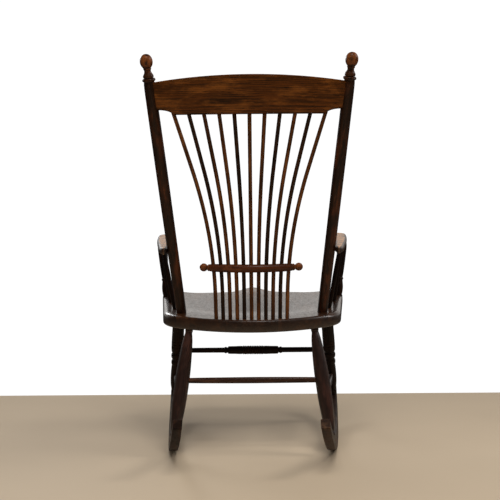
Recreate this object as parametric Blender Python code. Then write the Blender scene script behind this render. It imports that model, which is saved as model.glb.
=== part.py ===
"""A spindle-back rocking chair in dark oak: sawn seat, crest rail, arms and rockers, and turned
posts, legs, stretchers and spindles, each its own solid, held by round tenons in blind sockets.

Metres, +Z up. The chair faces -Y, and the sitter's left is +X. The origin is on the floor, under
the middle of the chair's box.
"""

import math

import bmesh
import bpy
from mathutils import Matrix, Vector

# ---------------------------------------------------------------- joints and clearances
FIT = 0.0003                     # gap all round a tenon, and between faces that meet
SIDES = (("left", 1), ("right", -1))

# ---------------------------------------------------------------- where the chair stands
CONTACT_Y = -0.004               # the rockers touch the floor under the centre of gravity
SEAT_REAR_Y = 0.149

# ---------------------------------------------------------------- seat
SEAT_DEPTH = 0.430
SEAT_FRONT_Y = SEAT_REAR_Y - SEAT_DEPTH
SEAT_MIDDLE_Y = SEAT_REAR_Y - SEAT_DEPTH / 2
SEAT_REAR_HEIGHT = 0.3725        # top of the seat's rear edge above the floor
SEAT_TILT = math.radians(8.1)    # the rear is lower than the front
SEAT_THICKNESS = 0.0345
SEAT_HALF_WIDTH = 0.2640         # at the middle of the tapering sides
SEAT_SIDE_TAPER = 0.10           # half width gained for each metre towards the front
SEAT_REAR_RADIUS = 0.42
SEAT_REAR_CORNER = 0.080
SEAT_FRONT_RADIUS = 1.10
SEAT_FRONT_CORNER = 0.060
SEAT_SHELF = 0.028               # flat border left along the sides of the saddled middle
SEAT_REAR_SHELF = 0.050          # and along its rear, where the spindles stand
SADDLE_DEPTH = 0.014
SADDLE_RUN = 0.105               # how far the saddle takes to reach its depth
POMMEL_WIDTH = 0.040
POMMEL_START = 0.265             # from the seat's front edge to where the pommel begins
POMMEL_REACH = 0.20

# ---------------------------------------------------------------- back
POST_RADIUS = 0.0155
POST_FOOT_INSET = 0.0522         # from the seat's side to the post's axis
POST_FOOT_Y = SEAT_REAR_Y - 0.099
POST_TOP_X = 0.2645
POST_LEAN = math.radians(16.2)
POST_SHAFT_TOP = 1.0205          # height of the ring under the finial
POST_TENON_RADIUS = 0.0115
POST_TENON_COVER = 0.0105        # wood left in the seat under the tenon
POST_TENON_LENGTH = SEAT_THICKNESS - POST_TENON_COVER
POST_RING = 0.0022               # how far the ring under the finial stands out
POST_SIDES = 10
FINIAL_LENGTH = 0.068
CREST_THICKNESS = 0.020
CREST_DROP = 0.0075              # from the ring of the post to the top of the crest rail's end
CREST_RISE = 0.016               # the middle of the top edge stands this far above its ends
CREST_END_DEPTH = 0.0695
CREST_CUSP_DEPTH = 0.083
CREST_MIDDLE_DEPTH = 0.100
CREST_TOP_END = POST_SHAFT_TOP - CREST_DROP
CREST_TOP_MIDDLE = CREST_TOP_END + CREST_RISE
CREST_BOTTOM_END = CREST_TOP_END - CREST_END_DEPTH
CREST_BOTTOM_CUSP = CREST_TOP_END - CREST_CUSP_DEPTH
CREST_BOTTOM_MIDDLE = CREST_TOP_MIDDLE - CREST_MIDDLE_DEPTH
CREST_CUSP = 0.83                # where the lower edge's cusps are, as part of the half length
CREST_BOW = 0.024                # the middle stands this far behind the ends
CREST_HOUSING = 0.006            # how far the whole end is let into the post
CREST_TENON_LENGTH = 0.012
CREST_TENON_THICKNESS = 0.010
CREST_TENON_SHOULDER = 0.012
CREST_EDGE = 0.004

SPINDLES = 11
SPINDLE_RADIUS = 0.0054
SPINDLE_SIDES = 8
SPINDLE_FOOT_SPAN = 0.0983       # half the row's width at the seat
SPINDLE_FOOT_INSET = 0.022       # from the seat's rear edge to the middle spindle
SPINDLE_CREST_INSET = 0.0391     # from the post's inner side to the outermost spindle
SPINDLE_BEND_START = SEAT_REAR_HEIGHT + 0.0675
SPINDLE_BEND_END = CREST_BOTTOM_MIDDLE - 0.144
SPINDLE_SLOPE_LOW = 0.020        # how fast the outermost spindle leans out below the bend
SPINDLE_TENON = 0.018            # depth of the spindles in the seat and in the crest rail
SPINDLE_STEPS = 9

RAIL_HEIGHT = SEAT_REAR_HEIGHT + 0.143
RAIL_RADIUS = 0.0112
RAIL_HALF_LENGTH = 0.1455
RAIL_SIDES = 8

# ---------------------------------------------------------------- arms
ARM_THICKNESS = 0.019
ARM_BEYOND_POST = 0.0228         # the rear end passes the post's axis by this much
ARM_FRONT_Y = SEAT_FRONT_Y + 0.019
ARM_REAR_TOP = 0.5725
ARM_FRONT_TOP = 0.603
ARM_LAP = 0.0043                 # how far the post is let into the arm's side
ARM_FLARE = 0.0245               # the front end stands this much further out than the rear
ARM_REAR_HALF_WIDTH = 0.0130
ARM_REAR_TAPER = 0.040           # length over which the rear end draws in to a point
ARM_FRONT_HALF_WIDTH = 0.0265
ARM_SWING = 0.0050               # the arm bows outwards by this much halfway along
ARM_EDGE = 0.008                 # the rounding of its long edges

ARM_POST_FOOT_INSET = 0.0118     # from the seat's side
ARM_POST_FOOT_Y = SEAT_FRONT_Y + 0.116
ARM_POST_TOP_OUT = 0.012         # outside the middle of the arm
ARM_POST_TOP_Y = ARM_FRONT_Y + 0.062
ARM_POST_RADIUS = 0.0130
ARM_POST_TENON_RADIUS = 0.008
ARM_SPINDLE_RADIUS = 0.0063
ARM_SPINDLE_FEET_INSET = (0.0224, 0.0339)
ARM_SPINDLE_FEET_Y = (-0.078, 0.005)
ARM_SPINDLE_TOPS_Y = (-0.100, -0.004)
ARM_SPINDLE_TOPS_OUT = (0.005, 0.000)
ARM_TENON_COVER = 0.0075         # wood left in the arm over the tenons
ARM_TENON_LENGTH = ARM_THICKNESS - ARM_TENON_COVER

# ---------------------------------------------------------------- legs and stretchers
FRONT_LEG_INSET = 0.0511         # from the seat's side to the leg's axis
FRONT_LEG_TOP_Y = SEAT_FRONT_Y + 0.091
FRONT_LEG_FOOT_Y = -0.285
FRONT_LEG_RADIUS = 0.0180
FRONT_LEG_TENON_RADIUS = 0.0125
REAR_LEG_INSET = 0.0732
REAR_LEG_TOP_Y = SEAT_REAR_Y - 0.061
REAR_LEG_FOOT_Y = 0.155
REAR_LEG_RADIUS = 0.0200
REAR_LEG_TENON_RADIUS = 0.0085
LEG_SIDES = 10
SEAT_TENON_COVER = 0.0125        # wood left in the seat over the legs' tenons
SEAT_TENON_LENGTH = SEAT_THICKNESS - SEAT_TENON_COVER
FOOT_TENON_RADIUS = 0.0075
FOOT_TENON_LENGTH = 0.022
FOOT_SEAT = 0.002                # how far a foot's shoulder is let into the rocker

STRETCHER_SIDES = 8
STRETCHER_TENON = 0.012          # depth past the leg's surface
FRONT_STRETCHER_HEIGHT = 0.2390
FRONT_STRETCHER_RADIUS = 0.0084
FRONT_STRETCHER_BEAD_RADIUS = 0.0136
REAR_STRETCHER_HEIGHT = 0.2040
REAR_STRETCHER_RADIUS = 0.0084
SIDE_STRETCHER_FRONT_HEIGHT = 0.156
SIDE_STRETCHER_REAR_HEIGHT = 0.148
SIDE_STRETCHER_RADIUS = 0.0076

# ---------------------------------------------------------------- rockers
ROCKER_RADIUS = 0.640
ROCKER_THICKNESS = 0.024
ROCKER_CONTACT_X = SEAT_HALF_WIDTH - 0.0295
ROCKER_TOE = 0.0890              # sideways shift for each metre towards the front
ROCKER_SPLAY = 0.097             # the top leans in by this much of its height
ROCKER_FLAT = 0.036              # flat worn on the sole where the chair rests
ROCKER_TAIL = 0.402              # length behind the contact point
ROCKER_NOSE = 0.402              # length ahead of it
ROCKER_TIP_DEPTH = 0.026
ROCKER_MIDDLE_DEPTH = 0.041
ROCKER_EDGE = 0.003
ROCKER_STEPS = 10                # facets of the sole on each side of the flat

# ---------------------------------------------------------------- fasteners
FASTENER_SIDES = 8
PIN_RADIUS = 0.0025
PIN_DROP = 0.011                 # from the rocker's top edge down to the pin
SCREW_RADIUS = 0.0022
SCREW_HEAD_RADIUS = 0.0042
SCREW_HEAD_DEPTH = 0.0026
SCREW_PROUD = 0.0005             # the domed head stands this far out of the arm
SCREW_IN_POST = 0.020

# ---------------------------------------------------------------- finishes
OAK = (0.045, 0.021, 0.012)
OAK_DARK = (0.026, 0.013, 0.009)
OAK_RED = (0.070, 0.026, 0.013)
OAK_WORN = (0.110, 0.048, 0.022)
STEEL = (0.30, 0.28, 0.25)


# ================================================================ mesh tools
def finish(obj, colour, roughness, metallic):
    """Gives the object a material of its own."""
    material = bpy.data.materials.new(obj.name)
    material.use_nodes = True
    shader = material.node_tree.nodes["Principled BSDF"]
    shader.inputs["Base Color"].default_value = (*colour, 1.0)
    shader.inputs["Roughness"].default_value = roughness
    shader.inputs["Metallic"].default_value = metallic
    obj.data.materials.append(material)


def add_loft(mesh, rings, matrix):
    """Adds one closed body: a skin over rings of equal length, with a cap on both ends."""
    loops = [[mesh.verts.new(matrix @ point) for point in ring] for ring in rings]
    for low, high in zip(loops, loops[1:]):
        for i in range(len(low)):
            j = (i + 1) % len(low)
            mesh.faces.new((low[i], low[j], high[j], high[i]))
    mesh.faces.new(reversed(loops[0]))
    mesh.faces.new(loops[-1])


def loft_object(name, bodies):
    """A new object that holds these (rings, matrix) bodies."""
    mesh = bmesh.new()
    for rings, matrix in bodies:
        add_loft(mesh, rings, matrix)
    bmesh.ops.recalc_face_normals(mesh, faces=mesh.faces)
    data = bpy.data.meshes.new(name)
    mesh.to_mesh(data)
    mesh.free()
    obj = bpy.data.objects.new(name, data)
    bpy.context.scene.collection.objects.link(obj)
    return obj


def smooth(obj):
    obj.data.shade_smooth()
    obj.data.set_sharp_from_angle(angle=math.radians(40))


def rings_along(path, radii, sides, grow=0.0):
    """Round sections square to a path. grow adds to each radius and lengthens both ends."""
    points = list(path)
    points[0] = points[0] + (points[0] - points[1]).normalized() * grow
    points[-1] = points[-1] + (points[-1] - points[-2]).normalized() * grow
    first = (points[1] - points[0]).normalized()
    across = first.orthogonal().normalized()
    rings = []
    for i, point in enumerate(points):
        before = points[max(i - 1, 0)]
        after = points[min(i + 1, len(points) - 1)]
        along = (after - before).normalized()
        across = (across - along * across.dot(along)).normalized()
        other = along.cross(across)
        ring = []
        for k in range(sides):
            angle = math.tau * (k + 0.5) / sides
            outward = across * math.cos(angle) + other * math.sin(angle)
            ring.append(point + outward * (radii[i] + grow))
        rings.append(ring)
    return rings


# Every piece that fits into others leaves a function here that draws it, grown or not.
shapes = {}


def add_piece(name, draw, matrix, colour, roughness, metallic=0.0):
    """Makes the object and keeps its drawing function, so that sockets can be cut to it."""
    obj = loft_object(name, [(draw(0.0), Matrix.Identity(4))])
    obj.matrix_world = matrix
    smooth(obj)
    finish(obj, colour, roughness, metallic)
    shapes[name] = (draw, matrix)


def add_turned(name, start, end, profile, sides, colour, roughness, metallic=0.0):
    """A piece turned on the line from start to end; profile holds (distance, radius) pairs."""
    direction = end - start
    matrix = Matrix.Translation(start) @ direction.to_track_quat("Z", "Y").to_matrix().to_4x4()
    path = [Vector((0.0, 0.0, distance)) for distance, _ in profile]
    radii = [radius for _, radius in profile]

    def draw(grow):
        return rings_along(path, radii, sides, grow)

    add_piece(name, draw, matrix, colour, roughness, metallic)


def cut_sockets(name, others, kind="sockets"):
    """Cuts the named piece where the others enter it, each grown by the clearance."""
    bodies = [(shapes[other][0](FIT), shapes[other][1]) for other in others]
    cutter = loft_object(f"{name}_{kind}", bodies)
    cutter.hide_render = True
    cutter.display_type = "WIRE"
    target = bpy.data.objects[name]
    modifier = target.modifiers.new(kind, "BOOLEAN")
    modifier.operation = "DIFFERENCE"
    modifier.object = cutter


# ================================================================ places that pieces share
def seat_top(y):
    """Height of the seat's upper plane."""
    return SEAT_REAR_HEIGHT + (SEAT_REAR_Y - y) * math.tan(SEAT_TILT)


def seat_side_x(y, inset):
    """Half width of the seat's straight side at y, less an inset square to it."""
    side_angle = math.atan(SEAT_SIDE_TAPER)
    return SEAT_HALF_WIDTH - (y - SEAT_MIDDLE_Y) * SEAT_SIDE_TAPER - inset / math.cos(side_angle)


def on_seat(side, y, inset):
    return Vector((side * seat_side_x(y, inset), y, seat_top(y)))


def post_x(z):
    foot = seat_side_x(POST_FOOT_Y, POST_FOOT_INSET)
    rise = (z - seat_top(POST_FOOT_Y)) / (POST_SHAFT_TOP - seat_top(POST_FOOT_Y))
    return foot + (POST_TOP_X - foot) * rise


def post_y(z):
    return POST_FOOT_Y + (z - seat_top(POST_FOOT_Y)) * math.tan(POST_LEAN)


def post_point(side, z):
    return Vector((side * post_x(z), post_y(z), z))


def rocker_x(y, z):
    """Distance of a rocker's middle plane from the chair's."""
    return ROCKER_CONTACT_X - ROCKER_TOE * (y - CONTACT_Y) - ROCKER_SPLAY * z


def rocker_sole(run):
    """(height, slope) of the sole that far from the contact point."""
    past = max(abs(run) - ROCKER_FLAT / 2, 0.0)
    angle = math.copysign(math.asin(past / ROCKER_RADIUS), run)
    return ROCKER_RADIUS * (1 - math.cos(angle)), angle


def rocker_depth(run):
    reach = ROCKER_TAIL if run > 0 else ROCKER_NOSE
    return ROCKER_TIP_DEPTH + (ROCKER_MIDDLE_DEPTH - ROCKER_TIP_DEPTH) * (1 - abs(run / reach) ** 2.5)


def rocker_point(run, up):
    """(y, z) of the point that far along the sole and that far up from it, square to it."""
    height, angle = rocker_sole(run)
    return CONTACT_Y + run - up * math.sin(angle), height + up * math.cos(angle)


def rocker_top(y):
    """Height of the rocker's top edge at y."""
    run = y - CONTACT_Y
    for _ in range(8):
        run += y - rocker_point(run, rocker_depth(run))[0]
    return rocker_point(run, rocker_depth(run))[1]


# ================================================================ seat
def arc_points(centre, radius, start, end, count):
    step = (end - start) / count
    angles = [start + step * i for i in range(count + 1)]
    return [centre + Vector((math.cos(a), math.sin(a))) * radius for a in angles]


def seat_outline(inset):
    """Plan of the seat, brought in by inset: two wide arcs, two sides and four corner arcs."""
    side_angle = math.atan(SEAT_SIDE_TAPER)
    outward = Vector((math.cos(side_angle), math.sin(side_angle)))
    on_side = Vector((SEAT_HALF_WIDTH, SEAT_MIDDLE_Y))
    rear_centre = Vector((0.0, SEAT_REAR_Y - SEAT_REAR_RADIUS))
    front_centre = Vector((0.0, SEAT_FRONT_Y + SEAT_FRONT_RADIUS))
    along = Vector((-outward.y, outward.x))

    def corner(arc_centre, arc_radius, corner_radius, way):
        """Centre of the corner arc that touches both the wide arc and the side."""
        base = on_side - outward * corner_radius - arc_centre
        reach = arc_radius - corner_radius
        half = base.dot(along)
        travel = -half + way * math.sqrt(half * half - base.length_squared + reach * reach)
        return arc_centre + base + along * travel

    rear = corner(rear_centre, SEAT_REAR_RADIUS, SEAT_REAR_CORNER, 1)
    front = corner(front_centre, SEAT_FRONT_RADIUS, SEAT_FRONT_CORNER, -1)
    rear_angle = math.atan2(rear.y - rear_centre.y, rear.x)
    front_angle = math.atan2(front.y - front_centre.y, front.x)
    half = arc_points(front_centre, SEAT_FRONT_RADIUS - inset, -math.pi / 2, front_angle, 6)
    half += arc_points(front, SEAT_FRONT_CORNER - inset, front_angle, side_angle, 4)[1:]
    half += arc_points(rear, SEAT_REAR_CORNER - inset, side_angle, rear_angle, 5)
    half += arc_points(rear_centre, SEAT_REAR_RADIUS - inset, rear_angle, math.pi / 2, 6)[1:]
    return half + [Vector((-p.x, p.y)) for p in reversed(half[1:-1])]


def saddle(point):
    """Depth of the hollow at a point of the seat's plan."""
    from_rear = SEAT_REAR_RADIUS - (point - Vector((0.0, SEAT_REAR_Y - SEAT_REAR_RADIUS))).length
    from_side = (seat_side_x(point.y, 0.0) - abs(point.x)) * math.cos(math.atan(SEAT_SIDE_TAPER))

    def ease(distance):
        part = min(max(distance / SADDLE_RUN, 0.0), 1.0)
        return part * (2 - part)

    forward = min(max((SEAT_FRONT_Y + POMMEL_START - point.y) / POMMEL_REACH, 0.0), 1.0)
    pommel = forward * math.exp(-((point.x / POMMEL_WIDTH) ** 2))
    sunk = ease(from_rear - SEAT_REAR_SHELF) * ease(from_side - SEAT_SHELF)
    return SADDLE_DEPTH * sunk * (1 - pommel)


def make_seat():
    rings = []
    edge = ((0.020, SEAT_THICKNESS), (0.008, SEAT_THICKNESS - 0.003), (0.001, SEAT_THICKNESS - 0.012),
            (0.0, 0.012), (0.003, 0.003), (0.010, 0.0))
    for inset, below in edge:
        rings.append([Vector((p.x, p.y, -below)) for p in seat_outline(inset)])
    shelf = seat_outline(SEAT_SHELF)
    middle = Vector((0.0, SEAT_REAR_Y - SEAT_DEPTH * 0.48))
    for plan in [shelf] + [[p.lerp(middle, part) for p in shelf] for part in (0.18, 0.38, 0.60, 0.82)]:
        rings.append([Vector((p.x, p.y, 0.0)) for p in plan])
    # The hollow runs out over the front edge, so it lowers every ring of the upper side.
    for ring in rings[3:]:
        for p in ring:
            p.z -= saddle(Vector((p.x, p.y)))
    for ring in rings:
        for p in ring:
            p.z += seat_top(p.y)

    def draw(grow):
        return rings

    add_piece("seat", draw, Matrix.Identity(4), OAK, 0.30)


# ================================================================ back
def make_posts():
    foot = seat_top(POST_FOOT_Y)
    ring = POST_RADIUS + POST_RING
    finial = ((0.05, 0.98), (0.07, 0.80), (0.12, 0.92), (0.19, 0.88), (0.33, 0.58), (0.42, 0.68),
              (0.48, 0.68), (0.57, 0.96), (0.71, 1.12), (0.85, 0.99), (0.95, 0.62), (1.0, 0.20))
    for label, side in SIDES:
        bottom = post_point(side, foot)
        top = post_point(side, POST_SHAFT_TOP)
        direction = (top - bottom).normalized()
        start = bottom - direction * POST_TENON_LENGTH
        shoulder = POST_TENON_LENGTH + 0.002
        length = (top - start).length
        profile = [
            (0.0, POST_TENON_RADIUS - 0.001),
            (shoulder, POST_TENON_RADIUS),
            (shoulder, POST_RADIUS - 0.0015),
            (length * 0.30, POST_RADIUS - 0.0005),
            (length * 0.62, POST_RADIUS),
            (length - 0.006, POST_RADIUS),
            (length - 0.003, ring - 0.002),
            (length, ring),
        ]
        profile += [(length + FINIAL_LENGTH * along, POST_RADIUS * wide) for along, wide in finial]
        add_turned(f"back_post_{label}", start, top, profile, POST_SIDES, OAK, 0.28)


def crest_rings(grow):
    """Sections of the crest rail from end to end, with the tenon's at both ends."""

    def edges(part):
        """(bottom, top) heights at this part of the half length."""
        far = abs(part)
        top = CREST_TOP_MIDDLE + (CREST_TOP_END - CREST_TOP_MIDDLE) * far ** 2
        if far < CREST_CUSP:
            bottom = CREST_BOTTOM_MIDDLE + (CREST_BOTTOM_CUSP - CREST_BOTTOM_MIDDLE) * (far / CREST_CUSP) ** 2
        else:
            cove = (far - CREST_CUSP) / (1 - CREST_CUSP)
            bottom = CREST_BOTTOM_CUSP + (CREST_BOTTOM_END - CREST_BOTTOM_CUSP) * math.sqrt(cove * (2 - cove))
        return bottom, top

    def ring(part, beyond, half, low, high, edge):
        points = []
        corners = ((-half, low + edge), (-half + edge, low), (half - edge, low), (half, low + edge),
                   (half, high - edge), (half - edge, high), (-half + edge, high), (-half, high - edge))
        for offset, z in corners:
            reach = post_x(z) - POST_RADIUS + CREST_HOUSING
            x = part * reach + math.copysign(beyond, part)
            y = post_y(z) + CREST_BOW * (1 - min(abs(part), 1.0) ** 2) + offset / math.cos(POST_LEAN)
            points.append(Vector((x, y, z)))
        return points

    parts = [-1.0, -0.97, -0.94, -0.90, -0.86, -CREST_CUSP, -0.68, -0.51, -0.34, -0.17, 0.0]
    parts += [-part for part in reversed(parts[:-1])]
    body = []
    for part in parts:
        low, high = edges(part)
        end = grow if abs(part) == 1.0 else 0.0
        body.append(ring(part, end, CREST_THICKNESS / 2 + grow, low - grow, high + grow, CREST_EDGE))
    low, high = edges(1.0)
    low += CREST_TENON_SHOULDER - grow
    high -= CREST_TENON_SHOULDER - grow
    half = CREST_TENON_THICKNESS / 2 + grow
    tenon = [ring(1.0, beyond + grow, half, low, high, 0.002) for beyond in (0.0, CREST_TENON_LENGTH)]
    other = [ring(-1.0, beyond + grow, half, low, high, 0.002) for beyond in (CREST_TENON_LENGTH, 0.0)]
    return other + body + tenon


def spindle_spread(z):
    """Half the width of the row of spindles at this height."""
    whole_bend = SPINDLE_BEND_END - SPINDLE_BEND_START
    straight = SPINDLE_FOOT_SPAN + SPINDLE_SLOPE_LOW * (SPINDLE_BEND_START - SEAT_REAR_HEIGHT)
    top = post_x(CREST_BOTTOM_MIDDLE) - POST_RADIUS - SPINDLE_CREST_INSET
    above = whole_bend / 2 + CREST_BOTTOM_MIDDLE - SPINDLE_BEND_END
    slope_high = (top - straight - SPINDLE_SLOPE_LOW * whole_bend / 2) / above

    low = min(z, SPINDLE_BEND_START) - SEAT_REAR_HEIGHT
    bend = min(max(z - SPINDLE_BEND_START, 0.0), whole_bend)
    high = max(z - SPINDLE_BEND_END, 0.0)
    turn = (slope_high - SPINDLE_SLOPE_LOW) / whole_bend
    curved = SPINDLE_SLOPE_LOW * bend + turn * bend * bend / 2
    return SPINDLE_FOOT_SPAN + SPINDLE_SLOPE_LOW * low + curved + slope_high * high


def back_y(part, z):
    """Depth of the spindles' curved surface; part runs from -1 to 1 across the row."""
    foot_y = SEAT_REAR_Y - SPINDLE_FOOT_INSET
    foot_z = seat_top(foot_y)
    top_z = CREST_BOTTOM_MIDDLE
    top_y = post_y(top_z) + CREST_BOW
    rise = (z - foot_z) / (top_z - foot_z)
    top_slope = math.tan(POST_LEAN) * (top_z - foot_z)
    foot_slope = 2 * (top_y - foot_y) - top_slope
    middle = foot_y + foot_slope * rise + (top_slope - foot_slope) * rise * rise / 2
    foot_bow = SPINDLE_FOOT_SPAN ** 2 / (2 * (SEAT_REAR_RADIUS - SPINDLE_FOOT_INSET))
    top_bow = CREST_BOW * (spindle_spread(top_z) / (post_x(top_z) - POST_RADIUS + CREST_HOUSING)) ** 2
    return middle - (foot_bow + (top_bow - foot_bow) * rise) * part * part


def back_point(part, z):
    return Vector((part * spindle_spread(z), back_y(part, z), z))


def make_spindles():
    names = []
    for i in range(SPINDLES):
        part = 2 * i / (SPINDLES - 1) - 1
        low = seat_top(SEAT_REAR_Y - SPINDLE_FOOT_INSET) - SPINDLE_TENON
        high = CREST_BOTTOM_MIDDLE + SPINDLE_TENON
        step = (high - low) / SPINDLE_STEPS
        path = [back_point(part, low + step * k) for k in range(SPINDLE_STEPS + 1)]
        foot = path[0].copy()
        path = [point - foot for point in path]
        radii = [SPINDLE_RADIUS] * len(path)

        def draw(grow, path=path, radii=radii):
            return rings_along(path, radii, SPINDLE_SIDES, grow)

        name = f"back_spindle_{i + 1}"
        add_piece(name, draw, Matrix.Translation(foot), OAK_DARK, 0.30)
        names.append(name)
    return names


def make_spindle_rail():
    """A turned rail, bent to the row of spindles, with a ball on each end."""
    ball = RAIL_RADIUS * 1.10
    ball_at = RAIL_HALF_LENGTH - ball
    half = [
        (0.0, RAIL_RADIUS),
        (0.35 * ball_at, RAIL_RADIUS),
        (0.78 * ball_at, RAIL_RADIUS),
        (0.84 * ball_at, RAIL_RADIUS * 0.90),
        (0.85 * ball_at, RAIL_RADIUS * 0.74),
        (0.865 * ball_at, RAIL_RADIUS * 0.88),
        (0.895 * ball_at, RAIL_RADIUS * 0.88),
        (0.905 * ball_at, RAIL_RADIUS * 0.74),
    ]
    half += [(ball_at + ball * math.sin(a), ball * math.cos(a)) for a in (-0.8, -0.3, 0.2, 0.7, 1.15, 1.45)]
    stations = [(-along, radius) for along, radius in reversed(half[1:])] + half
    spread = spindle_spread(RAIL_HEIGHT)
    lean = (back_y(0.0, RAIL_HEIGHT + 0.01) - back_y(0.0, RAIL_HEIGHT - 0.01)) / 0.02
    middle = back_point(0.0, RAIL_HEIGHT)
    path = []
    for along, _ in stations:
        back = back_y(along / spread, RAIL_HEIGHT) - middle.y
        path.append(Vector((along, back, -back * lean)))
    radii = [radius for _, radius in stations]

    def draw(grow):
        return rings_along(path, radii, RAIL_SIDES, grow)

    add_piece("spindle_rail", draw, Matrix.Translation(middle), OAK_RED, 0.30)


# ================================================================ arms
def arm_rear_y():
    return post_y(ARM_REAR_TOP - ARM_THICKNESS / 2) + ARM_BEYOND_POST


def arm_part(y):
    """0 at the arm's rear end and 1 at its front."""
    return (y - arm_rear_y()) / (ARM_FRONT_Y - arm_rear_y())


def arm_middle(side, part):
    """Middle of the arm's upper face; part runs from 0 at the rear to 1 at the front."""
    rear_x = post_x(ARM_REAR_TOP - ARM_THICKNESS / 2) + POST_RADIUS - ARM_LAP + ARM_REAR_HALF_WIDTH
    x = rear_x + ARM_FLARE * part + ARM_SWING * math.sin(math.pi * part)
    y = arm_rear_y() + (ARM_FRONT_Y - arm_rear_y()) * part
    z = ARM_REAR_TOP + (ARM_FRONT_TOP - ARM_REAR_TOP) * part
    return Vector((side * x, y, z))


def arm_half_width(part):
    """Narrow at the post, widening to a round paddle."""
    length = arm_rear_y() - ARM_FRONT_Y
    widen = part * part * (3 - 2 * part)
    width = ARM_REAR_HALF_WIDTH + (ARM_FRONT_HALF_WIDTH - ARM_REAR_HALF_WIDTH) * widen
    from_front = (1 - part) * length / ARM_FRONT_HALF_WIDTH
    from_rear = part * length / ARM_REAR_TAPER
    for reach in (from_front, from_rear):
        if reach < 1:
            width *= math.sqrt(max(1 - (1 - reach) ** 2, 0.12))
    return width


def arm_draw(side):
    parts = (0.0, 0.012, 0.04, 0.12, 0.24, 0.36, 0.48, 0.60, 0.72, 0.84, 0.92, 0.965, 0.99, 1.0)

    def draw(grow):
        rings = []
        for part in parts:
            middle = arm_middle(side, part)
            half = arm_half_width(part) + grow
            edge = min(ARM_EDGE, half * 0.6)
            low = -ARM_THICKNESS - grow
            section = ((-half, low + edge), (-half + edge, low), (half - edge, low), (half, low + edge),
                       (half, grow - edge), (half - edge, grow), (-half + edge, grow), (-half, grow - edge))
            rings.append([middle + Vector((x, 0.0, z)) for x, z in section])
        return rings

    return draw


def make_arms():
    for label, side in SIDES:
        add_piece(f"arm_{label}", arm_draw(side), Matrix.Identity(4), OAK, 0.26)


def under_arm(side, y, out):
    """Point on the arm's lower face at y, that far outside its middle."""
    return arm_middle(side, arm_part(y)) + Vector((side * out, 0.0, -ARM_THICKNESS))


def upright(name, foot, top, tenon, profile_of, sides, colour):
    """A turned upright between the seat and an arm, with a tenon of this length at both ends."""
    direction = (top - foot).normalized()
    start = foot - direction * tenon
    length = (top - foot).length
    add_turned(name, start, top, profile_of(length), sides, colour, 0.30)


def make_arm_uprights():
    r = ARM_POST_RADIUS
    t = ARM_POST_TENON_RADIUS
    tenon = ARM_TENON_LENGTH

    def post_profile(length):
        return [
            (0.0, t),
            (tenon + 0.002, t),
            (tenon + 0.002, r * 0.80),
            (tenon + length * 0.12, r * 0.92),
            (tenon + length * 0.22, r * 0.82),
            (tenon + length * 0.27, r * 0.70),
            (tenon + length * 0.30, r * 0.86),
            (tenon + length * 0.33, r * 0.70),
            (tenon + length * 0.46, r * 0.86),
            (tenon + length * 0.62, r * 1.00),
            (tenon + length * 0.78, r * 1.10),
            (tenon + length * 0.90, r * 1.14),
            (tenon + length * 0.97, r * 1.06),
            (tenon + length - 0.001, r * 0.92),
            (tenon + length - 0.001, t),
            (2 * tenon + length, t),
        ]

    def spindle_profile(length):
        s = ARM_SPINDLE_RADIUS
        return [
            (0.0, s * 0.86),
            (tenon, s * 0.90),
            (tenon + length * 0.35, s * 1.08),
            (tenon + length * 0.65, s * 1.08),
            (tenon + length, s * 0.90),
            (2 * tenon + length, s * 0.86),
        ]

    for label, side in SIDES:
        foot = on_seat(side, ARM_POST_FOOT_Y, ARM_POST_FOOT_INSET)
        top = under_arm(side, ARM_POST_TOP_Y, ARM_POST_TOP_OUT)
        upright(f"arm_post_{label}", foot, top, tenon, post_profile, POST_SIDES, OAK_DARK)
        for i in range(len(ARM_SPINDLE_FEET_Y)):
            foot = on_seat(side, ARM_SPINDLE_FEET_Y[i], ARM_SPINDLE_FEET_INSET[i])
            top = under_arm(side, ARM_SPINDLE_TOPS_Y[i], ARM_SPINDLE_TOPS_OUT[i])
            name = f"arm_spindle_{label}_{i + 1}"
            upright(name, foot, top, tenon, spindle_profile, SPINDLE_SIDES, OAK_DARK)


# ================================================================ legs, rockers, stretchers
def leg_ends(side, inset, top_y, foot_y):
    """Where a leg's axis meets the seat's underside and the rocker's top edge."""
    top = on_seat(side, top_y, inset) - Vector((0.0, 0.0, SEAT_THICKNESS))
    foot_z = rocker_top(foot_y)
    return top, Vector((side * rocker_x(foot_y, foot_z), foot_y, foot_z))


def leg_at(side, kind, z):
    top, foot = leg_ends(side, *kind)
    return foot.lerp(top, (z - foot.z) / (top.z - foot.z))


FRONT_LEG = (FRONT_LEG_INSET, FRONT_LEG_TOP_Y, FRONT_LEG_FOOT_Y)
REAR_LEG = (REAR_LEG_INSET, REAR_LEG_TOP_Y, REAR_LEG_FOOT_Y)


def front_leg_profile(length):
    r = FRONT_LEG_RADIUS
    return [
        (length * 0.02, r * 0.94),
        (length * 0.10, r * 1.00),
        (length * 0.13, r * 0.88),
        (length * 0.16, r * 1.00),
        (length * 0.30, r * 1.03),
        (length * 0.38, r * 1.05),
        (length * 0.50, r * 1.00),
        (length * 0.525, r * 0.84),
        (length * 0.55, r * 0.98),
        (length * 0.575, r * 0.98),
        (length * 0.60, r * 0.82),
        (length * 0.635, r * 0.92),
        (length * 0.67, r * 0.84),
        (length * 0.80, r * 0.90),
        (length * 0.90, r * 0.80),
        (length * 0.945, r * 0.62),
        (length * 0.97, r * 0.72),
    ]


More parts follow.
